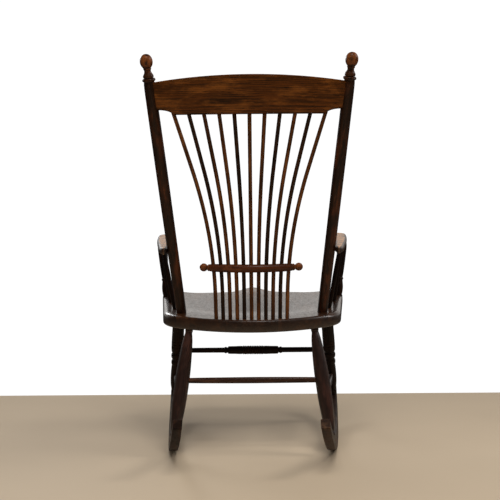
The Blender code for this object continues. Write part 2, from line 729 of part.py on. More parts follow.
def rear_leg_profile(length):
    r = REAR_LEG_RADIUS
    neck = REAR_LEG_TENON_RADIUS
    return [
        (length * 0.015, neck + 0.0020),
        (length * 0.035, neck + 0.0022),
        (length * 0.05, neck + 0.0016),
        (length * 0.11, neck + 0.0048),
        (length * 0.22, r * 0.82),
        (length * 0.36, r * 0.95),
        (length * 0.50, r * 1.00),
        (length * 0.62, r * 1.00),
        (length * 0.76, r * 0.92),
        (length * 0.88, r * 0.78),
        (length * 0.955, r * 0.66),
        (length * 0.965, r * 0.58),
        (length * 0.98, r * 0.64),
    ]


def make_legs():
    for label, side in SIDES:
        for where, kind, profile_of, tenon_radius in (
            ("front", FRONT_LEG, front_leg_profile, FRONT_LEG_TENON_RADIUS),
            ("rear", REAR_LEG, rear_leg_profile, REAR_LEG_TENON_RADIUS),
        ):
            top, foot = leg_ends(side, *kind)
            direction = (foot - top).normalized()
            length = (foot - top).length
            start = top - direction * SEAT_TENON_LENGTH
            body = profile_of(length)
            shoulder = SEAT_TENON_LENGTH - 0.003
            last = SEAT_TENON_LENGTH + length + FOOT_SEAT
            profile = [(0.0, tenon_radius - 0.001), (shoulder, tenon_radius), (shoulder, body[0][1])]
            profile += [(SEAT_TENON_LENGTH + along, radius) for along, radius in body]
            profile += [(last, body[-1][1]), (last, FOOT_TENON_RADIUS)]
            profile += [(last + FOOT_TENON_LENGTH, FOOT_TENON_RADIUS)]
            add_turned(f"{where}_leg_{label}", start, foot, profile, LEG_SIDES, OAK_DARK, 0.28)


def make_rockers():
    far = ROCKER_FLAT / 2
    runs = [-far - (ROCKER_NOSE - far) * (1 - k / ROCKER_STEPS) for k in range(ROCKER_STEPS + 1)]
    runs += [far + (ROCKER_TAIL - far) * k / ROCKER_STEPS for k in range(ROCKER_STEPS + 1)]
    half = ROCKER_THICKNESS / 2
    e = ROCKER_EDGE
    for label, side in SIDES:

        def draw(grow, side=side):
            rings = []
            for run in runs:
                top = rocker_depth(run) + grow
                section = ((-half, e * 0.5 - grow), (-half + e * 0.5, -grow), (half - e * 0.5, -grow),
                           (half, e * 0.5 - grow), (half, top - e), (half - e, top), (-half + e, top),
                           (-half, top - e))
                ring = []
                for across, up in section:
                    y, z = rocker_point(run, up)
                    x = side * (rocker_x(y, z) + across + math.copysign(grow, across))
                    ring.append(Vector((x, y, z)))
                rings.append(ring)
            return rings

        add_piece(f"rocker_{label}", draw, Matrix.Identity(4), OAK_DARK, 0.30)


def stretcher(name, start, end, reach_start, reach_end, body, radius, colour):
    """A turned rail between two legs; reach is how far its tenons go past the legs' axes."""
    direction = (end - start).normalized()
    first = start - direction * reach_start
    last = end + direction * reach_end
    length = (last - first).length
    profile = [(0.0, radius * 0.86), (length * 0.05, radius * 0.90)]
    profile += [(length * along, radius * wide) for along, wide in body]
    profile += [(length * 0.95, radius * 0.90), (length, radius * 0.86)]
    add_turned(name, first, end, profile, STRETCHER_SIDES, colour, 0.30)


def make_stretchers():
    into = STRETCHER_TENON - FRONT_LEG_RADIUS
    thick = FRONT_STRETCHER_BEAD_RADIUS / FRONT_STRETCHER_RADIUS
    half = ((0.31, 0.98), (0.318, 1.24), (0.33, 1.02), (0.335, thick * 0.88), (0.42, thick * 0.95))
    middle = ((0.46, thick), (0.472, thick * 0.78), (0.484, thick), (0.5, thick * 1.04))
    body = half + middle + tuple((1 - along, wide) for along, wide in reversed(half + middle[:-1]))
    ends = [leg_at(side, FRONT_LEG, FRONT_STRETCHER_HEIGHT) for side in (1, -1)]
    stretcher("front_stretcher", *ends, into, into, body, FRONT_STRETCHER_RADIUS, OAK_DARK)

    into = STRETCHER_TENON - REAR_LEG_RADIUS
    body = ((0.25, 1.0), (0.5, 1.06), (0.75, 1.0))
    ends = [leg_at(side, REAR_LEG, REAR_STRETCHER_HEIGHT) for side in (1, -1)]
    stretcher("rear_stretcher", *ends, into, into, body, REAR_STRETCHER_RADIUS, OAK_RED)

    into_front = STRETCHER_TENON - FRONT_LEG_RADIUS
    into_rear = STRETCHER_TENON - REAR_LEG_RADIUS
    for label, side in SIDES:
        front = leg_at(side, FRONT_LEG, SIDE_STRETCHER_FRONT_HEIGHT)
        rear = leg_at(side, REAR_LEG, SIDE_STRETCHER_REAR_HEIGHT)
        name = f"side_stretcher_{label}"
        stretcher(name, front, rear, into_front, into_rear, body, SIDE_STRETCHER_RADIUS, OAK_DARK)


# ================================================================ fasteners
def make_rocker_pins():
    for label, side in SIDES:
        for where, kind in (("front", FRONT_LEG), ("rear", REAR_LEG)):
            top, foot = leg_ends(side, *kind)
            direction = (foot - top).normalized()
            centre = foot + direction * (PIN_DROP + FOOT_SEAT)
            half = Vector((ROCKER_THICKNESS / 2 - 0.0005, 0.0, 0.0))
            profile = [(0.0, PIN_RADIUS), (2 * half.x, PIN_RADIUS)]
            name = f"rocker_pin_{where}_{label}"
            add_turned(name, centre - half, centre + half, profile, FASTENER_SIDES, OAK_WORN, 0.45)


def make_arm_screws():
    for label, side in SIDES:
        middle = arm_middle(side, 0.0)
        z = middle.z - ARM_THICKNESS / 2
        post = post_point(side, z)
        part = arm_part(post.y)
        outside = arm_middle(side, part).x + side * (arm_half_width(part) + SCREW_PROUD)
        start = Vector((outside, post.y, z))
        inward = Vector((-side, 0.0, 0.0))
        length = abs(outside - post.x) + SCREW_IN_POST - POST_RADIUS
        profile = [
            (0.0, SCREW_HEAD_RADIUS),
            (SCREW_HEAD_DEPTH, SCREW_RADIUS),
            (length - 0.004, SCREW_RADIUS),
            (length, SCREW_RADIUS * 0.3),
        ]
        name = f"arm_screw_{label}"
        add_turned(name, start, start + inward, profile, FASTENER_SIDES, STEEL, 0.40, metallic=1.0)


# ================================================================ assembly
def main():
    for obj in list(bpy.data.objects):
        bpy.data.objects.remove(obj, do_unlink=True)

    make_seat()
    make_posts()
    add_piece("crest_rail", crest_rings, Matrix.Identity(4), OAK_RED, 0.30)
    spindles = make_spindles()
    make_spindle_rail()
    make_arms()
    make_arm_uprights()
    make_rockers()
    make_legs()
    make_stretchers()
    make_rocker_pins()
    make_arm_screws()

    cut_sockets("spindle_rail", spindles)
    cut_sockets("crest_rail", spindles)
    into_seat = list(spindles)
    for label, _ in SIDES:
        uprights = [f"arm_post_{label}", f"arm_spindle_{label}_1", f"arm_spindle_{label}_2"]
        post = f"back_post_{label}"
        front = f"front_leg_{label}"
        rear = f"rear_leg_{label}"
        side_rail = f"side_stretcher_{label}"
        pins = [f"rocker_pin_front_{label}", f"rocker_pin_rear_{label}"]
        screw = f"arm_screw_{label}"
        cut_sockets(post, ["crest_rail", screw])
        cut_sockets(f"arm_{label}", uprights + [post])
        cut_sockets(f"arm_{label}", [screw], "screw_hole")
        cut_sockets(front, ["front_stretcher", side_rail, pins[0]])
        cut_sockets(rear, ["rear_stretcher", side_rail, pins[1]])
        cut_sockets(f"rocker_{label}", [front, rear])
        cut_sockets(f"rocker_{label}", pins, "pin_holes")
        into_seat += uprights + [post, front, rear]
    cut_sockets("seat", into_seat)


main()
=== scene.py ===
import math

import bpy
import numpy as np
from mathutils import Matrix, Vector, noise


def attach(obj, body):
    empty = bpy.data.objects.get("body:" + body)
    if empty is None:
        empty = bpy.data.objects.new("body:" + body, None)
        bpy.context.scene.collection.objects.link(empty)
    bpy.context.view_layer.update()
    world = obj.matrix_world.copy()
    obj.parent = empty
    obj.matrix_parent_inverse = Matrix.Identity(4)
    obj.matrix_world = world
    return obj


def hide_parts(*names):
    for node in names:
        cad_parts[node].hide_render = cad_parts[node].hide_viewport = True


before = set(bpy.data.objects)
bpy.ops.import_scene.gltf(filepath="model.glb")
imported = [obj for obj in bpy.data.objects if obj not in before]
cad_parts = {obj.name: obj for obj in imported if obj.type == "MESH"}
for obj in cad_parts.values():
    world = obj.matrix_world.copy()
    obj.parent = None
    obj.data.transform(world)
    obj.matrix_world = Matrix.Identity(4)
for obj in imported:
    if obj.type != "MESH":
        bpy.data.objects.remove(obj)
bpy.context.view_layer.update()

# ---------------------------------------------------------------- the chair's sizes, as in the CAD
CONTACT_Y = -0.004
SEAT_REAR_Y = 0.149
SEAT_DEPTH = 0.430
SEAT_FRONT_Y = SEAT_REAR_Y - SEAT_DEPTH
SEAT_MIDDLE_Y = SEAT_REAR_Y - SEAT_DEPTH / 2
SEAT_REAR_HEIGHT = 0.3725
SEAT_TILT = math.radians(8.1)
SEAT_THICKNESS = 0.0345
SEAT_HALF_WIDTH = 0.2640
SEAT_SIDE_TAPER = 0.10
SEAT_REAR_RADIUS = 0.42
SEAT_REAR_CORNER = 0.080
SEAT_FRONT_RADIUS = 1.10
SEAT_FRONT_CORNER = 0.060
SEAT_SHELF = 0.028
SEAT_REAR_SHELF = 0.050
SADDLE_DEPTH = 0.014
SADDLE_RUN = 0.105
POMMEL_WIDTH = 0.040
POMMEL_START = 0.265
POMMEL_REACH = 0.20

POST_RADIUS = 0.0155
POST_FOOT_INSET = 0.0522
POST_FOOT_Y = SEAT_REAR_Y - 0.099
POST_TOP_X = 0.2645
POST_LEAN = math.radians(16.2)
POST_SHAFT_TOP = 1.0205
CREST_THICKNESS = 0.020
CREST_TOP_END = POST_SHAFT_TOP - 0.0075
CREST_TOP_MIDDLE = CREST_TOP_END + 0.016
CREST_BOTTOM_END = CREST_TOP_END - 0.0695
CREST_BOTTOM_CUSP = CREST_TOP_END - 0.083
CREST_BOTTOM_MIDDLE = CREST_TOP_MIDDLE - 0.100
CREST_CUSP = 0.83
CREST_BOW = 0.024
CREST_HOUSING = 0.006

SPINDLES = 11
SPINDLE_RADIUS = 0.0054
SPINDLE_FOOT_SPAN = 0.0983
SPINDLE_FOOT_INSET = 0.022
SPINDLE_CREST_INSET = 0.0391
SPINDLE_BEND_START = SEAT_REAR_HEIGHT + 0.0675
SPINDLE_BEND_END = CREST_BOTTOM_MIDDLE - 0.144
SPINDLE_SLOPE_LOW = 0.020
RAIL_HEIGHT = SEAT_REAR_HEIGHT + 0.143

ARM_THICKNESS = 0.019
ARM_BEYOND_POST = 0.0228
ARM_FRONT_Y = SEAT_FRONT_Y + 0.019
ARM_REAR_TOP = 0.5725
ARM_FRONT_TOP = 0.603
ARM_LAP = 0.0043
ARM_FLARE = 0.0245
ARM_REAR_HALF_WIDTH = 0.0130
ARM_REAR_TAPER = 0.040
ARM_FRONT_HALF_WIDTH = 0.0265
ARM_SWING = 0.0050
ARM_POST_FOOT_INSET = 0.0118
ARM_POST_FOOT_Y = SEAT_FRONT_Y + 0.116
ARM_POST_TOP_OUT = 0.012
ARM_POST_TOP_Y = ARM_FRONT_Y + 0.062
ARM_POST_RADIUS = 0.0130
ARM_SPINDLE_RADIUS = 0.0063
ARM_SPINDLE_FEET_INSET = (0.0224, 0.0339)
ARM_SPINDLE_FEET_Y = (-0.078, 0.005)
ARM_SPINDLE_TOPS_Y = (-0.100, -0.004)
ARM_SPINDLE_TOPS_OUT = (0.005, 0.000)

FRONT_LEG_INSET = 0.0511
FRONT_LEG_TOP_Y = SEAT_FRONT_Y + 0.091
FRONT_LEG_FOOT_Y = -0.285
FRONT_LEG_RADIUS = 0.0180
REAR_LEG_INSET = 0.0732
REAR_LEG_TOP_Y = SEAT_REAR_Y - 0.061
REAR_LEG_FOOT_Y = 0.155
REAR_LEG_RADIUS = 0.0200
REAR_LEG_NECK = 0.0085
FOOT_SEAT = 0.002
STRETCHER_TENON = 0.012
FRONT_STRETCHER_HEIGHT = 0.2390
FRONT_STRETCHER_RADIUS = 0.0084
FRONT_STRETCHER_BEAD_RADIUS = 0.0136
REAR_STRETCHER_HEIGHT = 0.2040
REAR_STRETCHER_RADIUS = 0.0084
SIDE_STRETCHER_FRONT_HEIGHT = 0.156
SIDE_STRETCHER_REAR_HEIGHT = 0.148
SIDE_STRETCHER_RADIUS = 0.0076

ROCKER_RADIUS = 0.640
ROCKER_THICKNESS = 0.024
ROCKER_CONTACT_X = SEAT_HALF_WIDTH - 0.0295
ROCKER_TOE = 0.0890
ROCKER_SPLAY = 0.097
ROCKER_FLAT = 0.036
ROCKER_TAIL = 0.402
ROCKER_NOSE = 0.402
ROCKER_TIP_DEPTH = 0.026
ROCKER_MIDDLE_DEPTH = 0.041

SIDES = (("left", 1), ("right", -1))
BODY = "root"


# ---------------------------------------------------------------- places that pieces share
def seat_top(y):
    return SEAT_REAR_HEIGHT + (SEAT_REAR_Y - y) * math.tan(SEAT_TILT)


def seat_side_x(y, inset):
    side_angle = math.atan(SEAT_SIDE_TAPER)
    return SEAT_HALF_WIDTH - (y - SEAT_MIDDLE_Y) * SEAT_SIDE_TAPER - inset / math.cos(side_angle)


def on_seat(side, y, inset):
    return Vector((side * seat_side_x(y, inset), y, seat_top(y)))


def post_x(z):
    foot = seat_side_x(POST_FOOT_Y, POST_FOOT_INSET)
    rise = (z - seat_top(POST_FOOT_Y)) / (POST_SHAFT_TOP - seat_top(POST_FOOT_Y))
    return foot + (POST_TOP_X - foot) * rise


def post_y(z):
    return POST_FOOT_Y + (z - seat_top(POST_FOOT_Y)) * math.tan(POST_LEAN)


def post_point(side, z):
    return Vector((side * post_x(z), post_y(z), z))


def rocker_x(y, z):
    return ROCKER_CONTACT_X - ROCKER_TOE * (y - CONTACT_Y) - ROCKER_SPLAY * z


def rocker_sole(run):
    past = max(abs(run) - ROCKER_FLAT / 2, 0.0)
    angle = math.copysign(math.asin(past / ROCKER_RADIUS), run)
    return ROCKER_RADIUS * (1 - math.cos(angle)), angle


def rocker_depth(run):
    reach = ROCKER_TAIL if run > 0 else ROCKER_NOSE
    return ROCKER_TIP_DEPTH + (ROCKER_MIDDLE_DEPTH - ROCKER_TIP_DEPTH) * (1 - abs(run / reach) ** 2.5)


def rocker_point(run, up):
    height, angle = rocker_sole(run)
    return CONTACT_Y + run - up * math.sin(angle), height + up * math.cos(angle)


def rocker_top(y):
    run = y - CONTACT_Y
    for _ in range(8):
        run += y - rocker_point(run, rocker_depth(run))[0]
    return rocker_point(run, rocker_depth(run))[1]


def spindle_spread(z):
    whole_bend = SPINDLE_BEND_END - SPINDLE_BEND_START
    straight = SPINDLE_FOOT_SPAN + SPINDLE_SLOPE_LOW * (SPINDLE_BEND_START - SEAT_REAR_HEIGHT)
    top = post_x(CREST_BOTTOM_MIDDLE) - POST_RADIUS - SPINDLE_CREST_INSET
    above = whole_bend / 2 + CREST_BOTTOM_MIDDLE - SPINDLE_BEND_END
    slope_high = (top - straight - SPINDLE_SLOPE_LOW * whole_bend / 2) / above
    low = min(z, SPINDLE_BEND_START) - SEAT_REAR_HEIGHT
    bend = min(max(z - SPINDLE_BEND_START, 0.0), whole_bend)
    high = max(z - SPINDLE_BEND_END, 0.0)
    turn = (slope_high - SPINDLE_SLOPE_LOW) / whole_bend
    curved = SPINDLE_SLOPE_LOW * bend + turn * bend * bend / 2
    return SPINDLE_FOOT_SPAN + SPINDLE_SLOPE_LOW * low + curved + slope_high * high


def back_y(part, z):
    foot_y = SEAT_REAR_Y - SPINDLE_FOOT_INSET
    foot_z = seat_top(foot_y)
    top_z = CREST_BOTTOM_MIDDLE
    top_y = post_y(top_z) + CREST_BOW
    rise = (z - foot_z) / (top_z - foot_z)
    top_slope = math.tan(POST_LEAN) * (top_z - foot_z)
    foot_slope = 2 * (top_y - foot_y) - top_slope
    middle = foot_y + foot_slope * rise + (top_slope - foot_slope) * rise * rise / 2
    foot_bow = SPINDLE_FOOT_SPAN ** 2 / (2 * (SEAT_REAR_RADIUS - SPINDLE_FOOT_INSET))
    top_bow = CREST_BOW * (spindle_spread(top_z) / (post_x(top_z) - POST_RADIUS + CREST_HOUSING)) ** 2
    return middle - (foot_bow + (top_bow - foot_bow) * rise) * part * part


def back_point(part, z):
    return Vector((part * spindle_spread(z), back_y(part, z), z))


def arm_rear_y():
    return post_y(ARM_REAR_TOP - ARM_THICKNESS / 2) + ARM_BEYOND_POST


def arm_part(y):
    return (y - arm_rear_y()) / (ARM_FRONT_Y - arm_rear_y())


def arm_middle(side, part):
    rear_x = post_x(ARM_REAR_TOP - ARM_THICKNESS / 2) + POST_RADIUS - ARM_LAP + ARM_REAR_HALF_WIDTH
    x = rear_x + ARM_FLARE * part + ARM_SWING * math.sin(math.pi * part)
    y = arm_rear_y() + (ARM_FRONT_Y - arm_rear_y()) * part
    z = ARM_REAR_TOP + (ARM_FRONT_TOP - ARM_REAR_TOP) * part
    return Vector((side * x, y, z))


def under_arm(side, y, out):
    return arm_middle(side, arm_part(y)) + Vector((side * out, 0.0, -ARM_THICKNESS))


def leg_ends(side, inset, top_y, foot_y):
    top = on_seat(side, top_y, inset) - Vector((0.0, 0.0, SEAT_THICKNESS))
    foot_z = rocker_top(foot_y)
    return top, Vector((side * rocker_x(foot_y, foot_z), foot_y, foot_z))


def leg_at(side, kind, z):
    top, foot = leg_ends(side, *kind)
    return foot.lerp(top, (z - foot.z) / (top.z - foot.z))


FRONT_LEG = (FRONT_LEG_INSET, FRONT_LEG_TOP_Y, FRONT_LEG_FOOT_Y)
REAR_LEG = (REAR_LEG_INSET, REAR_LEG_TOP_Y, REAR_LEG_FOOT_Y)


# ---------------------------------------------------------------- mesh tools
def rng_of(name):
    """A seeded generator of its own for each piece."""
    seed = 0
    for letter in name:
        seed = (seed * 131 + ord(letter)) % 1000003
    return np.random.default_rng(seed)


def skin(rings, caps=True):
    """(points, faces) of a closed skin over rings of equal length."""
    count = len(rings[0])
    points = np.array([p for ring in rings for p in ring], dtype=float)
    faces = []
    for i in range(len(rings) - 1):
        low = i * count
        high = low + count
        for k in range(count):
            j = (k + 1) % count
            faces.append((low + k, low + j, high + j, high + k))
    if caps:
        faces.append(tuple(reversed(range(count))))
        faces.append(tuple(range(len(points) - count, len(points))))
    return points, faces


def curvature_of(points, faces):
    """Signed mean curvature at each point, positive where the surface is convex."""
    mesh = bpy.data.meshes.new("probe")
    mesh.from_pydata([tuple(p) for p in points], [], faces)
    mesh.update()
    normals = np.empty(len(points) * 3)
    mesh.vertices.foreach_get("normal", normals)
    normals = normals.reshape(-1, 3)
    ends = np.empty(len(mesh.edges) * 2, dtype=np.int64)
    mesh.edges.foreach_get("vertices", ends)
    ends = ends.reshape(-1, 2)
    bpy.data.meshes.remove(mesh)
    total = np.zeros(len(points))
    count = np.zeros(len(points))
    for a, b in ((0, 1), (1, 0)):
        one = ends[:, a]
        two = ends[:, b]
        step = points[two] - points[one]
        square = np.maximum((step ** 2).sum(axis=1), 1e-10)
        bend = -2 * (step * normals[one]).sum(axis=1) / square
        np.add.at(total, one, bend)
        np.add.at(count, one, 1)
    return total / np.maximum(count, 1), ends, normals


def spread_out(value, ends, rounds):
    """Averages a value over each point's neighbours."""
    for _ in range(rounds):
        total = value.copy()
        count = np.ones(len(value))
        for a, b in ((0, 1), (1, 0)):
            np.add.at(total, ends[:, a], value[ends[:, b]])
            np.add.at(count, ends[:, a], 1)
        value = total / count
    return value


# Curvatures, in 1/m, between which an edge goes from unworn to bare and a hollow from clean to grimy.
WEAR_FROM = 130.0
WEAR_TO = 600.0
HOLLOW_FROM = 30.0
HOLLOW_TO = 350.0
SHARP_ANGLE = math.radians(40.0)


def new_piece(node, points, faces, grain, finish_of, rub=None, painted_shade=None, stuff="wood"):
    """A mesh that stands for a CAD node, with its wood coordinates, its wear, and its dirt and painted shade
    stored on it.
    """
    name = f"{node}_{stuff}"
    ups, ends, normals = curvature_of(points, faces)
    ups = spread_out(ups, ends, 2)
    mesh = bpy.data.meshes.new(name)
    mesh.from_pydata([tuple(p) for p in points], [], faces)
    mesh.update()
    mesh.shade_smooth()
    mesh.set_sharp_from_angle(angle=SHARP_ANGLE)
    field = mesh.attributes.new("grain", "FLOAT_VECTOR", "POINT")
    field.data.foreach_set("vector", np.ascontiguousarray(grain, dtype=np.float32).ravel())
    wear = np.clip((ups - WEAR_FROM) / (WEAR_TO - WEAR_FROM), 0, 1)
    if rub is not None:
        wear = np.clip(wear + rub(points, normals, grain), 0, 1)
    dirt_and_shade = np.clip((-ups - HOLLOW_FROM) / (HOLLOW_TO - HOLLOW_FROM), 0, 1)
    # Some pieces add painted shade, from their own mask, on top of the dirt in the hollows.
    if painted_shade is not None:
        dirt_and_shade = np.clip(dirt_and_shade + painted_shade(points, normals), 0, 1)
    for label, values in (("wear", wear), ("dirt_and_shade", dirt_and_shade)):
        field = mesh.attributes.new(label, "FLOAT", "POINT")
        field.data.foreach_set("value", values.astype(np.float32))
    obj = bpy.data.objects.new(name, mesh)
    bpy.context.scene.collection.objects.link(obj)
    mesh.materials.append(finish_of["material"])
    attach(obj, BODY)
    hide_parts(node)
    return obj


TINY = 1e-6
HAIR = 2e-5


def frame_along(start, end):
    direction = end - start
    return Matrix.Translation(start) @ direction.to_track_quat("Z", "Y").to_matrix().to_4x4()


def smooth_profile(profile, step):
    """Fine (distance, radius) pairs through the given ones, rounded where they turn gently."""
    along = [p[0] for p in profile]
    radius = [p[1] for p in profile]
    slopes = [0.0] * len(profile)
    for i in range(1, len(profile) - 1):
        left = along[i] - along[i - 1]
        right = along[i + 1] - along[i]
        if min(left, right) < TINY:
            continue
        before = (radius[i] - radius[i - 1]) / left
        after = (radius[i + 1] - radius[i]) / right
        if before * after > 0:
            slopes[i] = 2 * before * after / (before + after)
    fine = [profile[0]]
    for i in range(len(profile) - 1):
        span = along[i + 1] - along[i]
        if span < TINY:
            fine.append(profile[i + 1])
            continue
        count = max(int(math.ceil(span / step)), 3)
        for k in range(1, count + 1):
            s = k / count
            ahead = s * s * (3 - 2 * s)
            bend = slopes[i] * s * (1 - s) ** 2 - slopes[i + 1] * s * s * (1 - s)
            fine.append((along[i] + span * s, radius[i] * (1 - ahead) + radius[i + 1] * ahead + span * bend))
    return fine


def round_skin(path, radii, sides, wobble, rng):
    """Rings square to a path, a little out of round as hand-worked wood is, closed at both ends."""
    across = (path[1] - path[0]).normalized().orthogonal().normalized()
    phase = rng.uniform(0, math.tau, 3)
    shift = Vector((*rng.uniform(-0.4, 0.4, 2), rng.uniform(0, 3)))
    pith = Vector((*rng.uniform(0.02, 0.05, 2), 0.0))
    rings = []
    grain = []
    travelled = 0.0
    for i, point in enumerate(path):
        along = (path[min(i + 1, len(path) - 1)] - path[max(i - 1, 0)]).normalized()
        across = (across - along * across.dot(along)).normalized()
        other = along.cross(across)
        if i:
            travelled += (point - path[i - 1]).length
        ring = []
        for k in range(sides):
            angle = math.tau * (k + 0.5) / sides
            oval = math.sin(2 * angle + phase[0] + 9 * travelled)
            lobes = math.sin(3 * angle + phase[1] - 23 * travelled)
            radius = radii[i] * (1 + wobble * (oval + 0.5 * lobes))
            a = math.cos(angle) * radius
            b = math.sin(angle) * radius
            ring.append(point + across * a + other * b)
            grain.append((pith.x + a, pith.y + b, shift.z + travelled))
        rings.append(ring)
    points, faces = skin(rings)
    return points, faces, np.array(grain)


def turned(node, start, end, profile, sides, finish_of, wobble=0.010, rub=None, step=0.004):
    """A turned piece on the line from start to end, from (distance, radius) pairs."""
    matrix = frame_along(start, end)
    axis = (end - start).normalized()
    fine = smooth_profile(profile, step)
    path = [matrix @ Vector((0.0, 0.0, along)) for along, _ in fine]
    # A step square to the axis would give a zero-length move, so it is spread over a hair.
    for i in range(1, len(path)):
        if (path[i] - path[i - 1]).length < TINY:
            path[i] = path[i] + axis * HAIR
    radii = [radius for _, radius in fine]
    points, faces, grain = round_skin(path, radii, sides, wobble, rng_of(node))
    return new_piece(node, points, faces, grain, finish_of, rub)


def turned_between(node, foot, top, sunk, ends, body, radius, sides, finish_of, wobble=0.010):
    """A turned piece from foot to top that is sunk past each by these lengths, with these end radii."""
    length = (top - foot).length
    start = foot - (top - foot).normalized() * sunk[0]
    whole = ((-sunk[0] / length, ends[0]), *body, (1.0 + sunk[1] / length, ends[1]))
    profile = [(sunk[0] + length * along, radius * wide) for along, wide in whole]
    return turned(node, start, top, profile, sides, finish_of, wobble)


def rounded_section(half, low, high, edges, turns, on_sides=0, on_faces=0, bulge=0.0):
    """(x, z) points round a board's section with rounded corners, from its lower left one."""
    low_edge, high_edge = edges
    corners = ((-1, low + low_edge, low_edge), (1, low + low_edge, low_edge),
               (1, high - high_edge, high_edge), (-1, high - high_edge, high_edge))
    rounds = []
    for index, (across, level, edge) in enumerate(corners):
        angles = [math.pi + (index + k / turns) * math.pi / 2 for k in range(turns + 1)]
        middle = across * (half - edge)
        rounds.append([(middle + edge * math.cos(a), level + edge * math.sin(a)) for a in angles])
    points = []
    for index, corner in enumerate(rounds):
        points += corner
        from_x, from_z = corner[-1]
        to_x, to_z = rounds[(index + 1) % 4][0]
        upright = index % 2
        count = on_sides if upright else on_faces
        for k in range(1, count + 1):
            s = k / (count + 1)
            out = corners[index][0] * bulge * math.sin(math.pi * s) * upright
            points.append((from_x + (to_x - from_x) * s + out, from_z + (to_z - from_z) * s))
    return points


# ---------------------------------------------------------------- the seat
def arc_points(centre, radius, start, end, count):
    step = (end - start) / count
    angles = [start + step * i for i in range(count + 1)]
    return [centre + Vector((math.cos(a), math.sin(a))) * radius for a in angles]


def seat_outline(inset):
    side_angle = math.atan(SEAT_SIDE_TAPER)
    outward = Vector((math.cos(side_angle), math.sin(side_angle)))
    on_side = Vector((SEAT_HALF_WIDTH, SEAT_MIDDLE_Y))
    rear_centre = Vector((0.0, SEAT_REAR_Y - SEAT_REAR_RADIUS))
    front_centre = Vector((0.0, SEAT_FRONT_Y + SEAT_FRONT_RADIUS))
    along = Vector((-outward.y, outward.x))

    def corner(arc_centre, arc_radius, corner_radius, way):
        base = on_side - outward * corner_radius - arc_centre
        reach = arc_radius - corner_radius
        half = base.dot(along)
        travel = -half + way * math.sqrt(half * half - base.length_squared + reach * reach)
        return arc_centre + base + along * travel

    rear = corner(rear_centre, SEAT_REAR_RADIUS, SEAT_REAR_CORNER, 1)
    front = corner(front_centre, SEAT_FRONT_RADIUS, SEAT_FRONT_CORNER, -1)
    rear_angle = math.atan2(rear.y - rear_centre.y, rear.x)
    front_angle = math.atan2(front.y - front_centre.y, front.x)
    half = arc_points(front_centre, SEAT_FRONT_RADIUS - inset, -math.pi / 2, front_angle, 36)
    half += arc_points(front, SEAT_FRONT_CORNER - inset, front_angle, side_angle, 14)[1:]
    start = half[-1]
    end = rear + outward * (SEAT_REAR_CORNER - inset)
    half += [start.lerp(end, k / 40) for k in range(1, 40)]
    half += arc_points(rear, SEAT_REAR_CORNER - inset, side_angle, rear_angle, 16)
    half += arc_points(rear_centre, SEAT_REAR_RADIUS - inset, rear_angle, math.pi / 2, 36)[1:]
    return half + [Vector((-p.x, p.y)) for p in reversed(half[1:-1])]


def saddle(point):
    from_rear = SEAT_REAR_RADIUS - (point - Vector((0.0, SEAT_REAR_Y - SEAT_REAR_RADIUS))).length
    from_side = (seat_side_x(point.y, 0.0) - abs(point.x)) * math.cos(math.atan(SEAT_SIDE_TAPER))

    def ease(distance):
        part = min(max(distance / SADDLE_RUN, 0.0), 1.0)
        return part * (2 - part)

    forward = min(max((SEAT_FRONT_Y + POMMEL_START - point.y) / POMMEL_REACH, 0.0), 1.0)
    pommel = forward * math.exp(-((point.x / POMMEL_WIDTH) ** 2))
    sunk = ease(from_rear - SEAT_REAR_SHELF) * ease(from_side - SEAT_SHELF)
    return SADDLE_DEPTH * sunk * (1 - pommel)


# The board's edge from underneath to the top, as (inset, depth below the top).
SEAT_EDGE = ((0.0060, SEAT_THICKNESS), (0.0028, SEAT_THICKNESS - 0.0006), (0.0012, SEAT_THICKNESS - 0.0019),
             (0.0003, SEAT_THICKNESS - 0.0040), (0.0, SEAT_THICKNESS - 0.0080), (0.0, SEAT_THICKNESS / 2),
             (0.0002, 0.0100), (0.0012, 0.0058), (0.0030, 0.0028), (0.0056, 0.0010), (0.0088, 0.0003),
             (0.0112, 0.0001), (0.0125, 0.0), (0.0135, 0.0), (0.0145, 0.0))
SEAT_CRISP = 0.75                # the upper edge's rounding along the rear, as a share of the insets above
SEAT_WIDE = 1.9                  # and along the sides
SEAT_RINGS = 46
SEAT_EYE_Y = SEAT_REAR_Y - SEAT_DEPTH * 0.48
SEAT_HEART = 0.060               # height of the boards' rings' centre under the top
SEAT_RIPPLE = 0.0004
PLANE_DEPTH = 0.02               # the ripple is left out deeper than this


def seat_edge_ring(inset, below):
    upper = below < SEAT_THICKNESS / 2
    rim = seat_outline(0.0)
    crisp = seat_outline(inset * SEAT_CRISP if upper else inset)
    wide = seat_outline(inset * SEAT_WIDE if upper else inset)
    ring = []
    for i, (one, two) in enumerate(zip(crisp, wide)):
        run = rim[(i + 1) % len(rim)] - rim[i - 1]
        sideways = abs(run.y) / max(run.length, TINY)
        share = min(max((sideways - 0.35) / 0.45, 0.0), 1.0)
        ring.append(Vector((*one.lerp(two, share * share * (3 - 2 * share)), -below)))
    return ring


def seat_rub(points, normals, grain):
    """Sitting has rubbed the pommel and the front edge."""
    forward = np.clip((SEAT_FRONT_Y + 0.16 - points[:, 1]) / 0.16, 0, 1)
    upper = np.clip((normals[:, 2] - 0.3) / 0.4, 0, 1)
    ridge = np.exp(-((points[:, 0] / 0.06) ** 2))
    return upper * forward * (0.25 + 0.55 * ridge)


def seat_painted_shade(points, normals):
    """Painted shade: darkens the board's upright faces."""
    return 0.6 * np.clip((0.7 - np.abs(normals[:, 2])) / 0.4, 0, 1)


